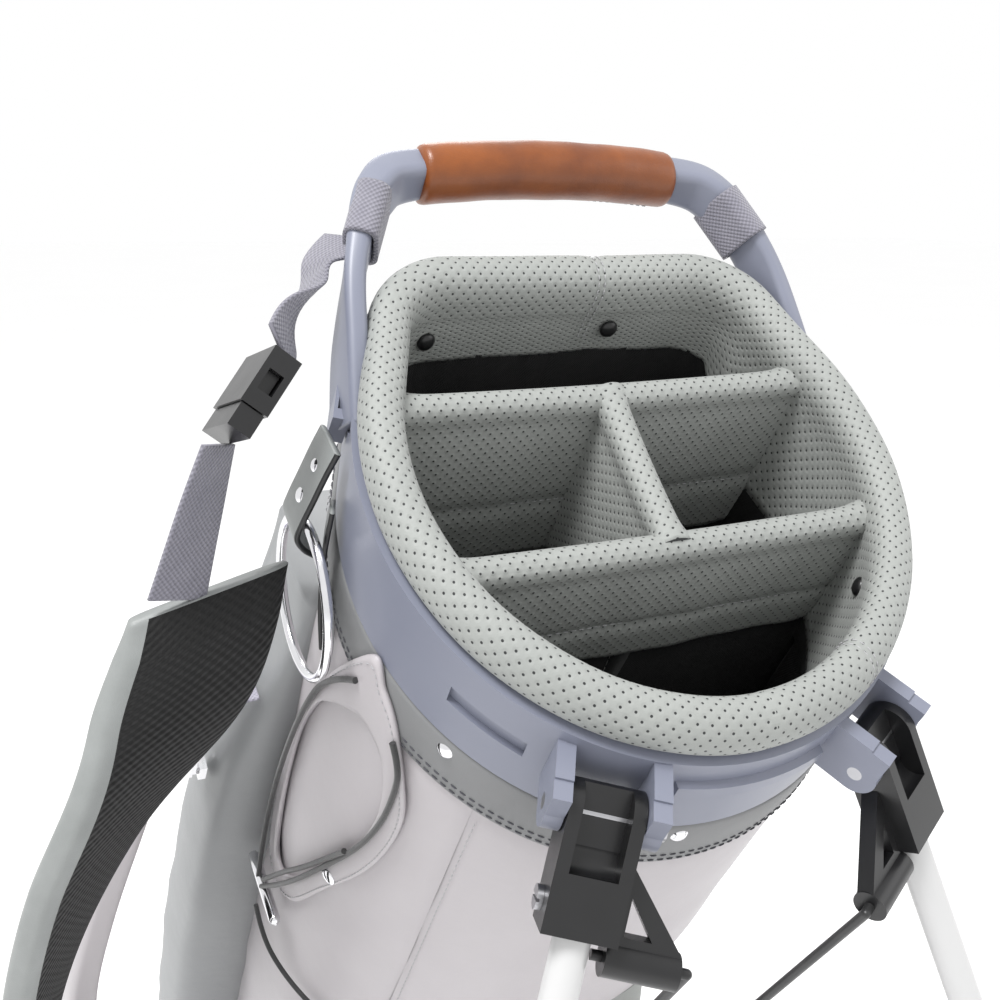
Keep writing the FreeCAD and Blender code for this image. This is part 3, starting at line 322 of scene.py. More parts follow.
def skin(name, rows, material, body="bag", around=False, ends=False, caps=False, mark=None):
    """Grid surface: around joins each row's ends, ends joins last row to first, caps fill both end rows."""
    n, m = len(rows), len(rows[0])
    verts = [p for row in rows for p in row]
    mid = rows[n // 2]
    u = [0.0]
    for j in range(m if around else m - 1):
        u.append(u[-1] + (mid[(j + 1) % m] - mid[j]).length)
    v = [0.0]
    picks = range(0, m, max(1, m // 8))
    for i in range(n if ends else n - 1):
        steps = [(rows[(i + 1) % n][j] - rows[i][j]).length for j in picks]
        v.append(v[-1] + sum(steps) / len(steps))
    faces, uvs, marks = [], [], []
    for i in range(n if ends else n - 1):
        for j in range(m if around else m - 1):
            a, b = i * m + j, i * m + (j + 1) % m
            c, d = ((i + 1) % n) * m + (j + 1) % m, ((i + 1) % n) * m + j
            faces.append((a, b, c, d))
            uvs.append(((u[j], v[i]), (u[j + 1], v[i]), (u[j + 1], v[i + 1]), (u[j], v[i + 1])))
            marks.append(mark(i, j) if mark else 0)
    if caps:
        for i, order in ((0, range(m - 1, -1, -1)), (n - 1, range(m))):
            ring_faces = [i * m + j for j in order]
            faces.append(tuple(ring_faces))
            uvs.append(tuple((0.0, 0.0) for _ in ring_faces))
            marks.append(0)
    return mesh_piece(name, verts, faces, body, material, uvs, marks if mark else None)


THREAD_RINGS = ((-0.5, 0.25), (-0.3, 0.95), (0.3, 0.95), (0.5, 0.25))
THREAD_SIDES = 6


def stitches(name, lines, material, length, pitch, radius):
    """Short raised threads along lines of (point in metres, outward normal); sizes in mm."""
    verts, faces = [], []
    length, pitch, radius = length / 1000, pitch / 1000, radius / 1000
    for line in lines:
        run = 0.0
        spots = []
        next_at = pitch / 2
        for (p, normal), (q, _) in zip(line, line[1:]):
            step = (q - p).length
            while step > 0 and next_at <= run + step:
                f = (next_at - run) / step
                spots.append((p.lerp(q, f), (q - p).normalized(), normal))
                next_at += pitch
            run += step
        for spot, along, normal in spots:
            across = along.cross(normal).normalized()
            base = len(verts)
            for t, r in THREAD_RINGS:
                for k in range(THREAD_SIDES):
                    a = k * pi / 3
                    lift = normal * (sin(a) * radius * r + radius * (0.55 * r - 0.25))
                    verts.append(spot + along * (length * t) + across * (cos(a) * radius * r) + lift)
            for start in range(base, base + 3 * THREAD_SIDES, THREAD_SIDES):
                for k in range(THREAD_SIDES):
                    a, b = start + k, start + (k + 1) % THREAD_SIDES
                    faces.append((a, b, b + THREAD_SIDES, a + THREAD_SIDES))
            faces.append(tuple(base + k for k in reversed(range(THREAD_SIDES))))
            faces.append(tuple(base + 3 * THREAD_SIDES + k for k in range(THREAD_SIDES)))
    return mesh_piece(name, verts, faces, "bag", material)


def sweep(name, stations, section, material, mark=None, skew=None):
    """Tube through stations of (centre, across, width); section(i) gives (across, lift) pairs in mm."""
    rows = []
    for i, (centre, across, _) in enumerate(stations):
        before = stations[max(i - 1, 0)][0]
        after = stations[min(i + 1, len(stations) - 1)][0]
        along = (after - before).normalized()
        side = (across - along * across.dot(along)).normalized()
        normal = along.cross(side).normalized()
        lean = skew(i) if skew else 0.0
        rows.append([centre + (side + along * lean) * (a * MM) + normal * (b * MM) for a, b in section(i)])
    return skin(name, rows, material, around=True, caps=True, mark=mark)


def smooth_stations(rows, count, place):
    """Stations through rows of (x, y, z, across x, across y, across z, width)."""
    out = []
    for row in catmull(rows, count):
        centre = place(*row[:3])
        across = (place(*row[3:6]) - place(0, 0, 0)).normalized()
        out.append((centre, across, row[6]))
    return out


def rounded(width, thick, corner, steps=4):
    """Closed rounded rectangle of (across, lift) pairs."""
    out = []
    for cx, cy, start in ((1, 1, 0), (-1, 1, 90), (-1, -1, 180), (1, -1, 270)):
        for k in range(steps + 1):
            a = radians(start + 90 * k / steps)
            out.append((cx * (width / 2 - corner) + corner * cos(a),
                        cy * (thick / 2 - corner) + corner * sin(a)))
    return out


# ------------------------------------------------------------------ outline of the bag
MOUTH_RADIUS, BACK_DEPTH, BACK_CORNER, BACK_SWEEP = 124.0, 106.0, 45.0, radians(20.0)


def dense_outline():
    """Points and outward normals round the bag from the front centre, anticlockwise from above."""
    side = (MOUTH_RADIUS * cos(BACK_SWEEP), MOUTH_RADIUS * sin(BACK_SWEEP))
    run = (BACK_DEPTH - side[1]) / cos(BACK_SWEEP)
    tip_x = side[0] - run * sin(BACK_SWEEP)
    reach = BACK_CORNER * tan(pi / 4 - BACK_SWEEP / 2)
    centre = (tip_x - reach, BACK_DEPTH - BACK_CORNER)
    half = []
    for k in range(241):
        a = -pi / 2 + (pi / 2 + BACK_SWEEP) * k / 240
        half.append((MOUTH_RADIUS * cos(a), MOUTH_RADIUS * sin(a), cos(a), sin(a)))
    low = (tip_x + reach * sin(BACK_SWEEP), BACK_DEPTH - reach * cos(BACK_SWEEP))
    for k in range(1, 40):
        f = k / 40
        half.append((side[0] + (low[0] - side[0]) * f, side[1] + (low[1] - side[1]) * f,
                     cos(BACK_SWEEP), sin(BACK_SWEEP)))
    for k in range(61):
        a = BACK_SWEEP + (pi / 2 - BACK_SWEEP) * k / 60
        half.append((centre[0] + BACK_CORNER * cos(a), centre[1] + BACK_CORNER * sin(a),
                     cos(a), sin(a)))
    for k in range(1, 31):
        half.append((centre[0] * (1 - k / 30), BACK_DEPTH, 0.0, 1.0))
    other = [(-x, y, -nx, ny) for x, y, nx, ny in reversed(half[1:-1])]
    return half + other


DENSE = dense_outline()
LENGTHS = [0.0]
for here, there in zip(DENSE, DENSE[1:] + DENSE[:1]):
    LENGTHS.append(LENGTHS[-1] + hypot(there[0] - here[0], there[1] - here[1]))
GIRTH = LENGTHS[-1]


def at_girth(s):
    """(x, y, normal x, normal y) at a distance round the outline from the front centre."""
    s %= GIRTH
    low, high = 0, len(DENSE)
    while high - low > 1:
        mid = (low + high) // 2
        if LENGTHS[mid] <= s:
            low = mid
        else:
            high = mid
    here, there = DENSE[low], DENSE[(low + 1) % len(DENSE)]
    f = (s - LENGTHS[low]) / max(LENGTHS[low + 1] - LENGTHS[low], 1e-9)
    return tuple(a + (b - a) * f for a, b in zip(here, there))


def girth_at(y):
    """Distance round the outline where its +X half crosses a given y, before the flat back."""
    best, found = 1e9, 0.0
    for k, (x, py, _, _) in enumerate(DENSE):
        if x > 0 and abs(py - y) < best and (x > 60 or y < -60):
            best, found = abs(py - y), LENGTHS[k]
    return found


def on_bag(s, grow, z):
    x, y, nx, ny = at_girth(s)
    return bag(x + nx * grow, y + ny * grow, z)


def on_mouth(s, grow, z):
    x, y, nx, ny = at_girth(s)
    px, py = x + nx * grow, y + ny * grow
    return bag(px, py, mouth_height(py, z))


def outward(s):
    _, _, nx, ny = at_girth(s)
    return turned((nx, ny, 0), LEAN)


def near(s, spot, width):
    """1 at a spot on the girth, falling to 0 within a few widths."""
    d = abs((s - spot + GIRTH / 2) % GIRTH - GIRTH / 2)
    return exp(-(d / width) ** 2)


# ------------------------------------------------------------------ cords
CORD_DIAMETER = 0.0028


def cord_curve(name, points):
    data = bpy.data.curves.new(name, "CURVE")
    data.dimensions = "3D"
    data.bevel_depth = CORD_DIAMETER / 2
    data.bevel_resolution = 4
    data.resolution_u = 12
    data.use_fill_caps = True
    spline = data.splines.new("NURBS")
    spline.points.add(len(points) - 1)
    for target, point in zip(spline.points, points):
        target.co = (*point, 1)
    spline.order_u = 3
    spline.use_endpoint_u = True
    data.materials.append(M["cord"])
    piece = add_object(name, data)
    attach(piece, "bag")
    return piece


def route_length(points):
    return sum((b - a).length for a, b in zip(points, points[1:]))


PATCH_MIDDLE = GIRTH - (pi / 2 - radians(12.0)) * MOUTH_RADIUS


def lying(s, grow, z):
    """Bag-frame point beside the loop patch, from its distance round the body and its height."""
    x, y, nx, ny = at_girth(PATCH_MIDDLE + s)
    return (x + nx * grow, y + ny * grow, z)


CORDS = {
    "cord_left": [
        lying(4, 4.5, -78), lying(-13.8, 5, -98), lying(-27, 5.5, -137), lying(-38.4, 6, -197),
        lying(-42, 7, -250), lying(-37, 8.5, -290), lying(-31, 9.5, -309)],
    "cord_right": [
        lying(30, 4.5, -88), lying(36.5, 5, -98), lying(38, 5, -114), lying(36.5, 5, -142),
        lying(28.8, 5, -175), lying(12.8, 5.5, -218), lying(-8, 7, -272), lying(-25, 9.5, -306)],
    "cord_lower": [
        (-134, 0, -330), (-132, -12, -345), (-125, -32, -352), (-114.5, -57, -349), (-98.5, -82.5, -345),
        (-74, -105.5, -342)],
}
for cord_name, cord_route in CORDS.items():
    cord_points = [bag(*point) for point in cord_route]
    cord_piece = cord_curve("elastic_" + cord_name, cord_points)
    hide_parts(cord_name)
    tuple(cord_points[0])
    route_length(cord_points)

CUT_END = [lying(-24, 9.5, -296), lying(-14, 6.5, -270), lying(0, 5.5, -240), lying(12, 5.2, -212),
           lying(24, 6.2, -182)]
tail_points = [bag(*point) for point in CUT_END]
tail_piece = cord_curve("elastic_cut_end", tail_points)
tuple(tail_points[0])
route_length(tail_points)

# ------------------------------------------------------------------ padded cuff
CUFF_PROFILE = [
    (-4.4, -7.6), (-2.2, -5.2), (-1.3, -1.0), (-2.3, 4.0), (-5.4, 7.8), (-10.2, 9.2), (-15.4, 8.0),
    (-18.8, 4.2), (-19.8, -1.5), (-18.6, -8.0), (-17.2, -16.0), (-16.4, -26.0), (-16.0, -40.0),
    (-15.8, -56.0), (-15.6, -73.5),
]
CUFF_BACK = [(-10.0, -73.5), (-7.4, -60.0), (-7.2, -30.0), (-7.0, -12.0), (-5.8, -8.4)]
CUFF_SEAMS = [60.0, 0.485 * GIRTH]
SEAM_HALF = 1.6
AROUND = 300
PROFILE_ROWS = 42
WALL_TOP = -12
REAR_WALL_RISE = 0.60


def cuff_rows():
    """Rows round the mouth: the padded rim, its inner wall, and the way back up behind the wall."""
    profile = catmull(CUFF_PROFILE, PROFILE_ROWS) + CUFF_BACK
    rows = []
    for i, (grow, z) in enumerate(profile):
        row = []
        for j in range(AROUND):
            s = GIRTH * j / AROUND
            pinch = sum(near(s, seam, 3.0) for seam in CUFF_SEAMS)
            wave = 0.5 * sin(s * 0.045 + 0.4) + 0.35 * sin(s * 0.11 + 1.7)
            g, h = grow, z
            if z < WALL_TOP:
                rear = min(1.0, max(0.0, (at_girth(s)[1] - 62) / 30))
                h = WALL_TOP + (z - WALL_TOP) * (1 - REAR_WALL_RISE * rear)
            if i < PROFILE_ROWS:
                g += (-8.5 - grow) * 0.05 * pinch
                h -= 1.1 * pinch * (1 if z > 0 else 0.4)
                if z < WALL_TOP:
                    g -= wave * min(1.0, (WALL_TOP - z) / 20)
                else:
                    h += 0.35 * wave
            row.append(on_mouth(s, g, h))
        rows.append(row)
    return rows


cuff = skin("padded_cuff", cuff_rows(), M["cuff"], around=True, ends=True)
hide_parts("cuff_pad")
stitch_lines = []
for seam in CUFF_SEAMS:
    for side in (-SEAM_HALF, SEAM_HALF):
        line = []
        for grow, z in catmull(CUFF_PROFILE, 60)[2:54]:
            if z < -30 and at_girth(seam)[1] > 0:
                continue
            p = on_mouth(seam + side, grow, z - 0.8)
            line.append((p, turned((0, 0, 1), LEAN + MOUTH_TILT) if z > 3 else -outward(seam)))
        stitch_lines.append(line)
stitches("cuff_seam_stitches", stitch_lines, M["pale_thread"], length=2.4, pitch=3.4, radius=0.3)


# ------------------------------------------------------------------ press studs
# rows of a dome, as shares of its radius and rise, from the crown down to the hidden foot
DOME_PROFILE = [(0.02, 1.0), (0.35, 0.95), (0.65, 0.78), (0.88, 0.5), (1.0, 0.2), (1.0, -0.2), (0.6, -0.5),
                (0.02, -0.5)]


def circle(count):
    return [2 * pi * k / count for k in range(count)]


def dome(name, centre, out, radius, rise, material):
    """Domed stud whose foot lies at a point, with its crown along a direction."""
    side = out.cross(Vector((0, 0, 1))).normalized()
    other = out.cross(side).normalized()
    rows = []
    for r, h in DOME_PROFILE:
        middle = centre + out * (h * rise / 1000)
        rows.append([middle + (side * cos(a) + other * sin(a)) * (r * radius / 1000)
                     for a in circle(28)])
    return skin(name, rows, material, around=True)


# the front snap lies nearest to the CAD snap on the +X side
cad_snaps = NODES["cuff_snaps"]
front_snap = max((cad_snaps.matrix_world @ v.co for v in cad_snaps.data.vertices), key=lambda c: c.x)
front_best = min(range(200), key=lambda k: (on_mouth(GIRTH * k / 400, -16.0, -16.0) - front_snap).length)
SNAP_SPOTS = [(GIRTH / 2 + 72, -17.3, -24.0), (GIRTH / 2 - 25, -17.3, -22.0),
              (GIRTH * front_best / 400, -17.0, -17.0)]
for index, (snap_s, snap_grow, snap_z) in enumerate(SNAP_SPOTS):
    snap_foot = on_mouth(snap_s, snap_grow, snap_z)
    snap = dome("snap_%d" % index, snap_foot, -outward(snap_s), 4.4, 2.6, M["black"])
    if index == 0:
        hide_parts("cuff_snaps")

# ------------------------------------------------------------------ dividers
DIVIDER_TOP = -3.0
REAR_DIVIDER_Y, FRONT_DIVIDER_Y = 40.0, -34.0


def wall_reach(y, grow):
    """Half-width of the mouth at a given y, at some distance inside the outline."""
    best = 0.0
    for x, py, nx, ny in DENSE:
        if abs(py + ny * grow - y) < 2.0:
            best = max(best, abs(x + nx * grow))
    return best


def mirrored(half, middle):
    """An outline of (across, height) points from its -X half and its top point."""
    return half + [middle] + [(-dx, dz) for dx, dz in reversed(half)]


def cross_divider(name, y0, node, drop):
    """Padded sleeve across the mouth at y0, whose skirt hangs to a depth of drop."""
    half_span = wall_reach(y0, -16.0) + 1.5
    share = drop / 103.0
    top = mouth_height(y0, DIVIDER_TOP)
    rows = []
    for i in range(61):
        f = -1 + 2 * i / 60
        x = half_span * f
        edge = 1 - exp(-((1 - abs(f)) * half_span / 9) ** 2)
        sag = -1.6 * (1 - f * f) + 2.2 * (1 - edge)
        wide = 6.6 + 1.8 * (1 - edge)
        row = []
        shape = mirrored([(-3.2, -103), (-4.2, -90), (-5.0, -74), (-3.4, -66), (-5.2, -58), (-5.6, -42),
                          (-5.4, -26), (-5.0, -14), (-wide, -7.5), (-wide * 0.82, -2.4)], (0, 0.4))
        puff = 0.6 * sin(x * 0.07 + y0) + 0.3 * sin(x * 0.19)
        for dy, dz in catmull(shape, 61):
            depth = min(1.0, max(0.0, (-dz - 12) / 30))
            if dz < -14:
                dz = -14 + (dz + 14) * (share * 103 - 14) / 89
            row.append(bag(x, y0 + dy + puff * depth, top + dz + sag))
        rows.append(row)
    piece = skin(name, rows, M["cuff"], around=True)
    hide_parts(node)
    lines = []
    seam_z = top - 14 - 52 * (drop - 14) / 89 - 1.2
    for side in (-1, 1):
        out = turned((0, side, 0), LEAN)
        lines.append([(bag(half_span * (-1 + 2 * k / 80), y0 + side * 3.5, seam_z), out) for k in range(81)])
    stitches(name + "_stitches", lines, M["pale_thread"], length=2.6, pitch=3.8, radius=0.3)


cross_divider("rear_divider_padding", REAR_DIVIDER_Y, "rear_divider_sleeve", 100.0)
cross_divider("front_divider_padding", FRONT_DIVIDER_Y, "front_divider_sleeve", 72.0)


def middle_divider():
    """Padded sleeve from the front divider to the rear one, flaring where it meets them."""
    y0, y1 = FRONT_DIVIDER_Y - 1.5, REAR_DIVIDER_Y + 1.0
    rows = []
    for i in range(41):
        f = i / 40
        y = y0 + (y1 - y0) * f
        ends = min(f, 1 - f) * (y1 - y0)
        flare = exp(-(ends / 6.0) ** 2)
        top = mouth_height(y, DIVIDER_TOP)
        wide = 6.8 + 3.0 * flare
        shape = mirrored([(-4, -100), (-5.2, -80), (-5.4, -66), (-5.6, -46), (-5.4, -26), (-5.2, -14),
                          (-wide, -7.5), (-wide * 0.82, -2.2)], (0, 0.6))
        sag = -1.5 * sin(pi * f)
        rows.append([bag(dx, y, top + dz + sag) for dx, dz in catmull(shape, 49)])
    piece = skin("middle_divider_padding", rows, M["cuff"], around=True, caps=True)
    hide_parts("middle_divider_sleeve")


middle_divider()


# ------------------------------------------------------------------ lining
def lining():
    """Black cloth inside the body, raised at the rear to meet the cuff's shorter wall."""
    rows = []
    for i in range(46):
        z = -70 - (852 - 70) * i / 45
        row = []
        for j in range(120):
            s = GIRTH * j / 120
            fold = 0.7 * sin(s * 0.09 + i * 0.4) + 0.5 * sin(i * 0.9 + s * 0.03)
            if i == 0:
                rear = min(1.0, max(0.0, (at_girth(s)[1] - 56) / 30))
                edge_z = -71 + (35 + 1.2 * sin(s * 0.31)) * rear
                row.append(on_mouth(s, -15.3 + 0.9 * rear * sin(s * 0.55), edge_z))
            else:
                row.append(on_bag(s, -8.4 + fold * 0.6 - (4.5 if i == 1 else 0), z - 14 * (i == 1)))
        rows.append(row)
    piece = skin("bag_lining", rows, M["lining"], around=True)
    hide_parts("body_liner")


lining()


CLOTH_LOW = -843.0


def divider_cloth(node, a, b, top_a, top_b):
    """Loose black cloth between the compartments, from under a sleeve to the base."""
    (ax, ay), (bx, by) = a, b
    rows = []
    for i in range(41):
        f = i / 40
        row = []
        for j in range(25):
            g = j / 24
            top = top_a + (top_b - top_a) * g
            z = top + (CLOTH_LOW - top) * f
            fold = 3.0 * sin(pi * g) * sin(f * 9 + g * 5) * min(1, f * 6)
            nx, ny = -(by - ay), bx - ax
            size = hypot(nx, ny)
            row.append(bag(ax + (bx - ax) * g + nx / size * fold, ay + (by - ay) * g + ny / size * fold, z))
        rows.append(row)
    piece = skin(node + "_sheet", rows, M["lining"])
    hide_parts(node)
    thicken = piece.modifiers.new("thick", "SOLIDIFY")
    thicken.thickness = 0.0012


for cloth_name, cloth_y, sleeve in (("rear_divider_cloth", REAR_DIVIDER_Y, 98),
                                    ("front_divider_cloth", FRONT_DIVIDER_Y, 70)):
    reach_x = wall_reach(cloth_y, -9.5)
    cloth_top = mouth_height(cloth_y, DIVIDER_TOP) - sleeve
    divider_cloth(cloth_name, (-reach_x, cloth_y), (reach_x, cloth_y), cloth_top, cloth_top)
divider_cloth("middle_divider_cloth", (0, -31.0), (0, 37.0), -108.0, -92.0)


# ------------------------------------------------------------------ band under the collar
def band():
    """Leather band round the top of the body, with two rows of stitching near its lower edge."""
    profile = [(-2.4, -50.4), (-0.4, -50.6), (0.3, -53), (0.5, -62), (0.5, -74), (0.3, -77.2), (-0.8, -78.4),
               (-2.4, -77.6), (-2.6, -66)]
    rows = [[on_mouth(GIRTH * j / 240, grow, z) for j in range(240)] for grow, z in profile]
    piece = skin("collar_band", rows, M["skirt"], around=True, ends=True)
    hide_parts("collar_skirt")
    lines = []
    for z in (-75.2, -71.6):
        lines.append([(on_mouth(GIRTH * j / 360, 0.55, z), outward(GIRTH * j / 360)) for j in range(361)])
    stitches("collar_band_stitches", lines, M["thread"], length=3.0, pitch=4.4, radius=0.42)


band()


# ------------------------------------------------------------------ body panels
BODY_LOW = -784.0
SEAM_FRONT, SEAM_BACK = -86.0, 82.0
S_FRONT_R = girth_at(SEAM_FRONT)
S_BACK_R = girth_at(SEAM_BACK)
S_BACK_L = GIRTH - S_BACK_R
S_FRONT_L = GIRTH - S_FRONT_R


def body_panel(side, s0, s1, colour):
    """Leather panel between two seams, sinking into them and gently rippled."""
    rows = []
    columns = max(24, int((s1 - s0) / 4))
    for i in range(97):
        f = i / 96
        row = []
        for j in range(columns + 1):
            s = s0 + (s1 - s0) * j / columns
            x, y, nx, ny = at_girth(s)
            top = mouth_height(y, -76.0)
            z = top + (BODY_LOW - top) * f
            seam = exp(-((s - s0) / 2.6) ** 2) + exp(-((s1 - s) / 2.6) ** 2)
            soft = sin(pi * f) ** 0.6
            ripple = (0.9 * sin(z * 0.021 + s * 0.012) * sin(s * 0.017 + 0.5)
                      + 0.45 * sin(z * 0.06 + s * 0.05) + 0.3 * sin(z * 0.11 - s * 0.09 + 1.0))
            grow = -1.2 + soft * (1.4 + 0.8 * ripple) - 1.5 * min(seam, 1.0)
            if f < 0.01:
                grow = -2.8
            row.append(bag(x + nx * grow, y + ny * grow, z))
        rows.append(row)
    piece = skin(side + "_body_leather", rows, M[colour])
    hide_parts("body_%s_panel" % side)


body_panel("front", S_FRONT_L - GIRTH, S_FRONT_R, "white")
body_panel("right", S_FRONT_R, S_BACK_R, "white")
body_panel("back", S_BACK_R, S_BACK_L, "grey")
body_panel("left", S_BACK_L, S_FRONT_L, "white")
seam_lines = []
for s in (S_FRONT_R - 3.2, S_FRONT_L + 3.2, S_BACK_R + 3.2, S_BACK_L - 3.2):
    x, y, nx, ny = at_girth(s)
    top = mouth_height(y, -84)
    heights = [top + (BODY_LOW + 4 - top) * k / 150 for k in range(151)]
    seam_lines.append([(on_bag(s, 0.45, z), outward(s)) for z in heights])
stitches("body_seam_stitches", seam_lines, M["pale_thread"], length=2.8, pitch=4.2, radius=0.32)


# ------------------------------------------------------------------ pockets
def pocket(name, node, side, y0, y1, stops, material):
    """Swelling side pocket. stops are (height, reach beyond the skin) from top to bottom."""
    def wall(y):
        return at_girth(girth_at(min(y, 98)))[0] - 0.8

    rows = []
    for z, reach in catmull(stops, 70):
        r = 123.0 + reach
        pts = [(wall(y0) + 0.2, y0 - 1), (wall(y0) + max(r - wall(y0), 1) * 0.55, y0 + 0.5),
               (r - reach * 0.10, y0 + 5), (r + 0.8, y0 + 16), (r + 2.2, (y0 + y1) / 2), (r - 0.5, y1 - 18),
               (r - reach * 0.25 - 3, y1 - 6), (wall(y1) + (r - wall(y1)) * 0.45, y1 + 1),
               (wall(y1) - 2, y1 + 1)]
        ripple = 0.9 * sin(z * 0.05) + 0.6 * sin(z * 0.13 + 1)
        row = []
        for k, (x, y) in enumerate(catmull(pts, 49)):
            wave = ripple * sin(pi * k / 48) * 0.8 + 0.5 * sin(z * 0.09 + y * 0.11)
            row.append(bag(side * (x + wave * 0.6), y, z))
        rows.append(row if side > 0 else row[::-1])
    piece = skin(name, rows, material, caps=True)
    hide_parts(node)


pocket("tall_pocket", "left_pocket", -1, 30, 98,
       [(-104, 0.5), (-150, 8), (-205, 20), (-262, 30.5), (-350, 35.5), (-455, 40), (-600, 40), (-715, 33),
        (-748, 18), (-760, 3)], M["grey"])
pocket("lower_pocket", "right_pocket", 1, 10, 98,
       [(-468, 2), (-482, 16), (-530, 34), (-600, 49), (-680, 50), (-735, 40), (-762, 18), (-770, 3)],
       M["grey"])
pocket("small_pocket", "valuables_pocket", 1, 18, 94,
       [(-158, 1), (-170, 8), (-240, 19), (-300, 25), (-370, 24), (-415, 14), (-430, 2)], M["pink"])


# ------------------------------------------------------------------ hip pad
def hip_pad():
    """Cushion on the front of the body, quilted across."""
    rows = []
    for i in range(49):
        f = i / 48
        z = -275 - 305 * f
        end = min(f, 1 - f) * 305
        row = []
        for j in range(41):
            g = -1 + 2 * j / 40
            rise = (1 - abs(g) ** 6) ** 0.5 * min(1, (1 - exp(-(end / 9) ** 1.6)))
            quilt = 1.3 * exp(-(((z + 275) % 61 - 30.5) / 3.0) ** 2) if 0.05 < f < 0.95 else 0
            row.append(on_bag(43 * g * (1 if end > 1 else 0.97), 0.2 + 11.5 * rise - quilt * (rise > 0.5), z))
        rows.append(row)
    piece = skin("hip_cushion", rows, M["cuff_plain"])
    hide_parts("hip_pad")


hip_pad()


# ------------------------------------------------------------------ straps
WEB_WIDTH = 25
UPPER_WEB = [(-103, 82, 88, 0.3, 0.8, 0.5), (-114, 78, 78, 0.3, 0.8, 0.5), (-122, 70, 67, 0.3, 0.9, 0.3),
             (-134, 55, 56, 0.5, 0.8, 0.1), (-142, 43, 47, 0.6, 0.75, -0.2)]
LOWER_WEB = [(-170, 32, 14, 0.6, 0.75, -0.2), (-179, 33, -14, 0.8, 0.5, 0.1), (-188, 37, -46, 0.88, 0.2, 0.3)]
OUTER_PAD = [(-174, 42, -46, 0.85, 0.1, 0.55, 60), (-192, 47, -98, 0.85, 0.2, 0.45, 68),
             (-228, 58, -160, 0.72, 0.6, 0.25, 62), (-250, 76, -225, 0.5, 0.85, 0.1, 52),
             (-258, 100, -290, 0.25, 0.96, 0, 54), (-251, 130, -350, 0.1, 0.97, 0.15, 56),
             (-238, 155, -395, 0, 0.96, 0.25, 33)]
INNER_WEB = [(-139.5, 127, -126, 0.15, 0.95, 0.2), (-152, 128, -128, 0.15, 0.95, 0.2),
             (-170, 130, -134, 0.15, 0.95, 0.2), (-184, 133, -146, 0.1, 0.98, 0.1)]
INNER_PAD = [(-186, 137, -152, 0.1, 0.98, 0.1, 31), (-200, 150, -190, 0.1, 0.98, 0.05, 50),
             (-217, 162, -240, 0.05, 0.98, 0.1, 50), (-229, 175, -290, 0, 0.98, 0.15, 50),
             (-230, 190, -340, 0, 0.97, 0.2, 48), (-224, 203, -384, 0, 0.96, 0.25, 33)]
TAIL_WEB = [(-231, 184, -424, 0, 0.88, 0.45), (-205, 230, -470, 0, 0.86, 0.5),
            (-170, 288, -524, 0, 0.85, 0.53), (-142, 335, -566, 0, 0.85, 0.53),
            (-127.5, 362, -588, 0, 0.85, 0.53)]


def webbing(which, rows, material):
    stations = smooth_stations([(*row, WEB_WIDTH) for row in rows], 40, level)
    section = rounded(WEB_WIDTH, 1.9, 0.8, 3)
    piece = sweep(which + "_strap_webbing", stations, lambda i: section, material)
    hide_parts("strap_%s_web" % which)


webbing("upper", UPPER_WEB, M["web"])
webbing("lower", LOWER_WEB, M["web"])
webbing("inner", INNER_WEB, M["white_web"])
webbing("tail", TAIL_WEB, M["web"])
PAD_THICKNESS = 15.0
PAD_STATIONS = 90


def shoulder_pad(which, rows, face):
    """Foam pad, thinner towards its ends: smooth leather outside, air mesh against the shoulder."""
    stations = smooth_stations(rows, PAD_STATIONS, level)
    steps = 56

    def section(i):
        width = stations[i][2]
        end = min(i, PAD_STATIONS - 1 - i) / 6
        thick = PAD_THICKNESS * (0.45 + 0.55 * min(1.0, end))
        out = []
        for a in circle(steps):
            c, s = cos(a), sin(a)
            out.append((copysign(abs(c) ** 0.35, c) * width / 2,
                        copysign(abs(s) ** 0.6, s) * thick / 2))
        return out

    def mark(i, j):
        a = 2 * pi * (j + 0.5) / steps
        return 1 if sin(a) > -0.2 and cos(a) > -0.55 else 0

    piece = sweep(which + "_shoulder_cushion", stations, section, [face, M["mesh"]], mark=mark,
                  skew=lambda i: -0.5 * exp(-(i / 16) ** 2))
    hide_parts(which + "_shoulder_pad")


shoulder_pad("outer", OUTER_PAD, M["tab"])
shoulder_pad("inner", INNER_PAD, M["white"])


# ------------------------------------------------------------------ handle grip and strap sleeves
GRIP_Y, GRIP_Z, GRIP_HALF, GRIP_BOW = 140.0, 47.0, 66.0, 3.6


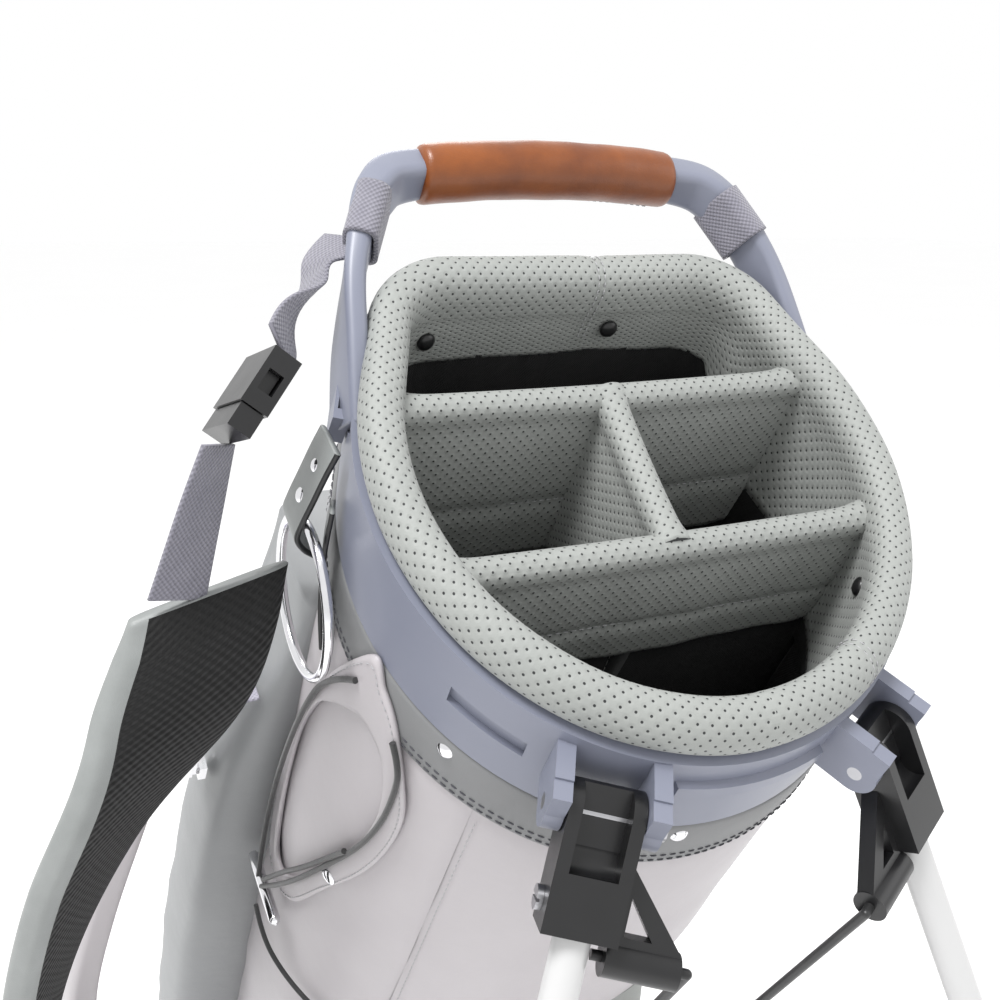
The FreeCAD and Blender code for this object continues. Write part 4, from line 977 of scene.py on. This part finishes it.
def grip():
    """Leather wrapped round the handle's bar, bowed upwards, with its seam underneath."""
    tip = GRIP_HALF - 1.5
    rows = []
    for i in range(81):
        f = -1 + 2 * i / 80
        x = tip * f
        end = (1 - abs(f)) * GRIP_HALF
        lip = 1 - 0.18 * exp(-(end / 1.2) ** 2)
        row = []
        for a in circle(64):
            swell = 13.2 + 0.12 * sin(x * 0.13 + a * 2) + 0.08 * sin(x * 0.31 - a)
            seam = 0.9 * exp(-((a - 1.5 * pi) / 0.07) ** 2)
            r = (swell - seam) * lip
            row.append(bag(x, GRIP_Y + r * 0.94 * cos(a), GRIP_Z + GRIP_BOW * (1 - f * f) + r * sin(a)))
        rows.append(row)
    for scale in (0.7, 0.5):
        rows.insert(0, [point.lerp(bag(-tip, GRIP_Y, GRIP_Z), 1 - scale) for point in rows[0]])
        rows.append([point.lerp(bag(tip, GRIP_Y, GRIP_Z), 1 - scale) for point in rows[-1]])
    piece = skin("grip_leather", rows, M["cognac"], around=True)
    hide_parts("handle_grip")
    lines = []
    for side in (-1, 1):
        a = 1.5 * pi + side * 0.16
        out = turned((0, cos(a), sin(a)), LEAN)
        line = []
        for k in range(81):
            bow = GRIP_BOW * (1 - (k / 40 - 1) ** 2)
            line.append((bag(-60 + 120 * k / 80, GRIP_Y + 12.7 * cos(a), GRIP_Z + bow + 13.5 * sin(a)),
                         out))
        lines.append(line)
    stitches("grip_stitches", lines, M["thread"], length=2.6, pitch=3.6, radius=0.32)


grip()

ARCH = [(-115, 44, -12), (-110, 72, 9), (-102, 100, 30), (-88, 127, 44), (-66, 140, 47)]


def arch():
    """Moulded handle: two struts that widen towards the collar, soft elbows and the bar inside the grip."""
    table = []
    across = [(0, 0.85, -0.5), (0, 0.6, -0.8), (0.2, 0.35, -0.9), (0.2, 0.1, -1), (0, 0.1, -1)]
    sizes = [(30, 9), (27, 9), (21, 9.5), (21, 15), (19, 17)]
    for point, side, size in zip(ARCH, across, sizes):
        table.append((*point, *side, *size))
    table.append((0, 140, 50, 0, 0.1, -1, 14, 12))
    other = [(-x, y, z, -ax, ay, az, w, t) for x, y, z, ax, ay, az, w, t in reversed(table[:-1])]
    places, sizes = [], []
    for row in catmull(table + other, 150):
        places.append((bag(*row[:3]), turned(row[3:6], LEAN).normalized(), 1.0))
        sizes.append((row[6], row[7]))

    def section(i):
        wide, thick = sizes[i]
        return rounded(wide, thick, min(thick * 0.36, 4.5), 4)

    piece = sweep("handle_arch_moulding", places, section, M["plastic"])
    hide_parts("handle_arch")


arch()


def strap_loop(which, side):
    """Webbing wrapped round a strut."""
    a, b = Vector(ARCH[2]), Vector(ARCH[3])
    along = b - a
    start, end = a + along * 0.22, a + along * 0.98
    across = Vector((0.2, 0.25, -0.95))
    along_n = along.normalized()
    side_v = (across - along_n * across.dot(along_n)).normalized()
    normal = along_n.cross(side_v)

    def row(f, section):
        centre = start.lerp(end, f)
        points = [centre + side_v * u + normal * w for u, w in section]
        return [bag(side * -p.x, p.y, p.z) for p in points]

    outer = [row(i / 20, rounded(25.5, 15.0, 6.0, 6)) for i in range(21)]
    inner = [row(f, rounded(21.5, 11.0, 4.0, 6)) for f in (1.0, 0.5, 0.0)]
    piece = skin(which + "_strap_loop", outer + inner, M["web"], around=True, ends=True)
    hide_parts(which + "_strap_sleeve")


strap_loop("left", -1)
strap_loop("right", 1)


# ------------------------------------------------------------------ leather loop patch
# (distance round the body from the patch's middle, height) along the leather's outer edge and its window
PATCH_EDGE = [(6, -60), (18, -69), (28, -82), (39, -110), (44, -132), (42, -160), (34, -192), (18, -232),
              (-3, -284), (-26, -300), (-45, -292), (-49, -236), (-43, -185), (-23, -117)]
PATCH_WINDOW = [(3, -101), (13, -97), (25, -105), (31, -124), (32, -149), (25, -182), (9, -227), (-10, -270),
                (-25, -282), (-34, -268), (-38, -225), (-34, -172), (-22, -131), (-10, -113)]


def loop_patch():
    """Teardrop band of leather lying on the body's left side."""
    outer = catmull(PATCH_EDGE, 140, closed=True)
    inner = catmull(PATCH_WINDOW, 140, closed=True)
    rows = []
    for f, lift in ((0.0, 0.9), (0.0, 2.6), (0.1, 3.2), (0.5, 3.5), (0.9, 3.2), (1.0, 2.6), (1.0, 0.9)):
        row = []
        for (ax, az), (bx, bz) in zip(outer, inner):
            row.append(on_bag(PATCH_MIDDLE + ax + (bx - ax) * f, lift, az + (bz - az) * f))
        rows.append(row)
    piece = skin("loop_patch_leather", rows[::-1], M["white"], around=True, ends=True)
    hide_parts("loop_patch")
    middle = [((ax + bx) / 2, (az + bz) / 2) for (ax, az), (bx, bz) in zip(outer, inner)]
    line = [(on_bag(PATCH_MIDDLE + (ax * 3 + mx) / 4, 3.3, (az * 3 + mz) / 4), outward(PATCH_MIDDLE + ax))
            for (ax, az), (mx, mz) in zip(outer, middle)]
    stitches("loop_patch_stitches", [line], M["pale_thread"], length=2.4, pitch=3.6, radius=0.28)
    rivet_s = PATCH_MIDDLE + 17.5
    dome("loop_patch_rivet", on_bag(rivet_s, 3.4, -220), outward(rivet_s), 4.6, 1.8, M["chrome"])


loop_patch()


# ------------------------------------------------------------------ toggle and ring tab
def rod(name, a, b, radius, material):
    """Round bar with softened ends."""
    along = (b - a).normalized()
    side = along.cross(Vector((0.3, 0.5, 0.8))).normalized()
    other = along.cross(side)
    rows = []
    for place, share in ((a, 0.3), (a + along * radius * 0.3, 0.8), (a + along * radius * 0.9, 1.0),
                         (b - along * radius * 0.9, 1.0), (b - along * radius * 0.3, 0.8), (b, 0.3)):
        rows.append([place + (side * cos(t) + other * sin(t)) * radius * share
                     for t in circle(20)])
    return skin(name, rows, material, around=True, caps=True)


def strip(name, points, across, width, thick):
    """Narrow leather strip through points, with painted edges."""
    stations = smooth_stations([(*p, *across, width) for p in points], 48, bag)
    section = rounded(width, thick, thick * 0.45, 3)

    def mark(i, j):
        a = section[j][0]
        b = section[(j + 1) % len(section)][0]
        return 1 if abs(a + b) / 2 > width / 2 - thick * 0.5 else 0

    return sweep(name, stations, lambda i: section, [M["tab"], M["black"]], mark)


# chrome bar and its thinner keeper on the elastic cord
toggle = rod("toggle_bar", bag(*lying(-47, 10, -312)), bag(*lying(-3, 10, -303)), 0.0031, M["chrome"])
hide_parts("cord_toggle")
rod("toggle_keeper", bag(*lying(-44, 7, -322)), bag(*lying(-6, 7, -314)), 0.0016, M["chrome"])

# leather tab that carries the towel ring, with a second tab behind it
TAB_POINTS = [(-127, 33, -6), (-130.5, 32, -16), (-134, 31, -28), (-137.5, 30, -40), (-138.5, 30, -48),
              (-135, 30, -55), (-129.5, 30, -60)]
TAIL_POINTS = [(-126.5, 20, -30), (-128.5, 15, -48), (-129, 8, -70), (-127.5, 1, -92)]
tab = strip("ring_tab_leather", TAB_POINTS, (0, 1, 0), 20, 2.6)
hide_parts("ring_tab")
strip("ring_tab_tail", TAIL_POINTS, (0.35, 0.94, 0), 13, 2.2)
off_tab = turned((-0.94, 0, 0.34), LEAN)
dome("ring_tab_rivet", bag(-136.2, 31, -33), off_tab, 3.4, 1.6, M["chrome"])
dome("ring_tab_rivet_high", bag(-131.8, 32, -18), off_tab, 3.0, 1.5, M["chrome"])

# ------------------------------------------------------------------ materials of the CAD nodes that stay
CAD_LOOKS = {
    "collar_frame": "plastic", "collar_rivets": "chrome",
    "divider_cores": "core", "base_cap": "black", "stand_foot": "black", "stand_foot_pin": "steel",
    "leg_hinge_pins": "steel", "left_zip_slider": "chrome", "right_zip_slider": "chrome",
    "valuables_zip_slider": "chrome", "cord_eyelet": "chrome",
    "towel_ring": "chrome", "strap_joiner": "black", "buckle_socket": "black", "buckle_plug": "black",
}
for which in ("left", "right"):
    CAD_LOOKS[which + "_leg_bracket"] = "black"
    CAD_LOOKS[which + "_bracket_screw"] = "steel"
    CAD_LOOKS[which + "_leg_tube"] = "leg"
    CAD_LOOKS[which + "_leg_boot"] = "rubber"
    CAD_LOOKS[which + "_lift_rod"] = "wire"
for node_name, look in CAD_LOOKS.items():
    held = NODES[node_name].data.materials
    if not held:
        held.append(M[look])
    for index in range(len(held)):
        held[index] = M[look]


# ------------------------------------------------------------------ floor and light
floor_data = bpy.data.meshes.new("floor")
floor_data.from_pydata([(-30, -30, 0), (30, -30, 0), (30, 30, 0), (-30, 30, 0)], [], [(0, 1, 2, 3)])
floor = add_object("floor", floor_data)
floor_data.materials.append(node_material("floor_white", (1.0, 1.0, 1.0), 1.0, (0.99, 0.99, 0.99), 1))
floor.location.z = -0.0005

world = bpy.data.worlds.new("studio")
bpy.context.scene.world = world
world.use_nodes = True
background = world.node_tree.nodes["Background"]
background.inputs["Color"].default_value = (1, 1, 1, 1)
background.inputs["Strength"].default_value = 1.0


def area_light(name, spot, aim, size, power):
    data = bpy.data.lights.new(name, "AREA")
    data.shape = "DISK"
    data.size = size
    data.energy = power
    lamp = add_object(name, data)
    lamp.location = spot
    lamp.rotation_euler = (Vector(aim) - Vector(spot)).to_track_quat("-Z", "Y").to_euler()


area_light("key", (-0.9, -0.6, 2.6), (0, 0, 0.6), 0.8, 46)
area_light("fill", (1.8, -1.2, 1.6), (0, 0, 0.6), 1.4, 5)
area_light("rim", (0.6, 2.0, 2.2), (0, 0, 0.7), 1.2, 10)
bpy.context.scene.view_settings.view_transform = "Standard"
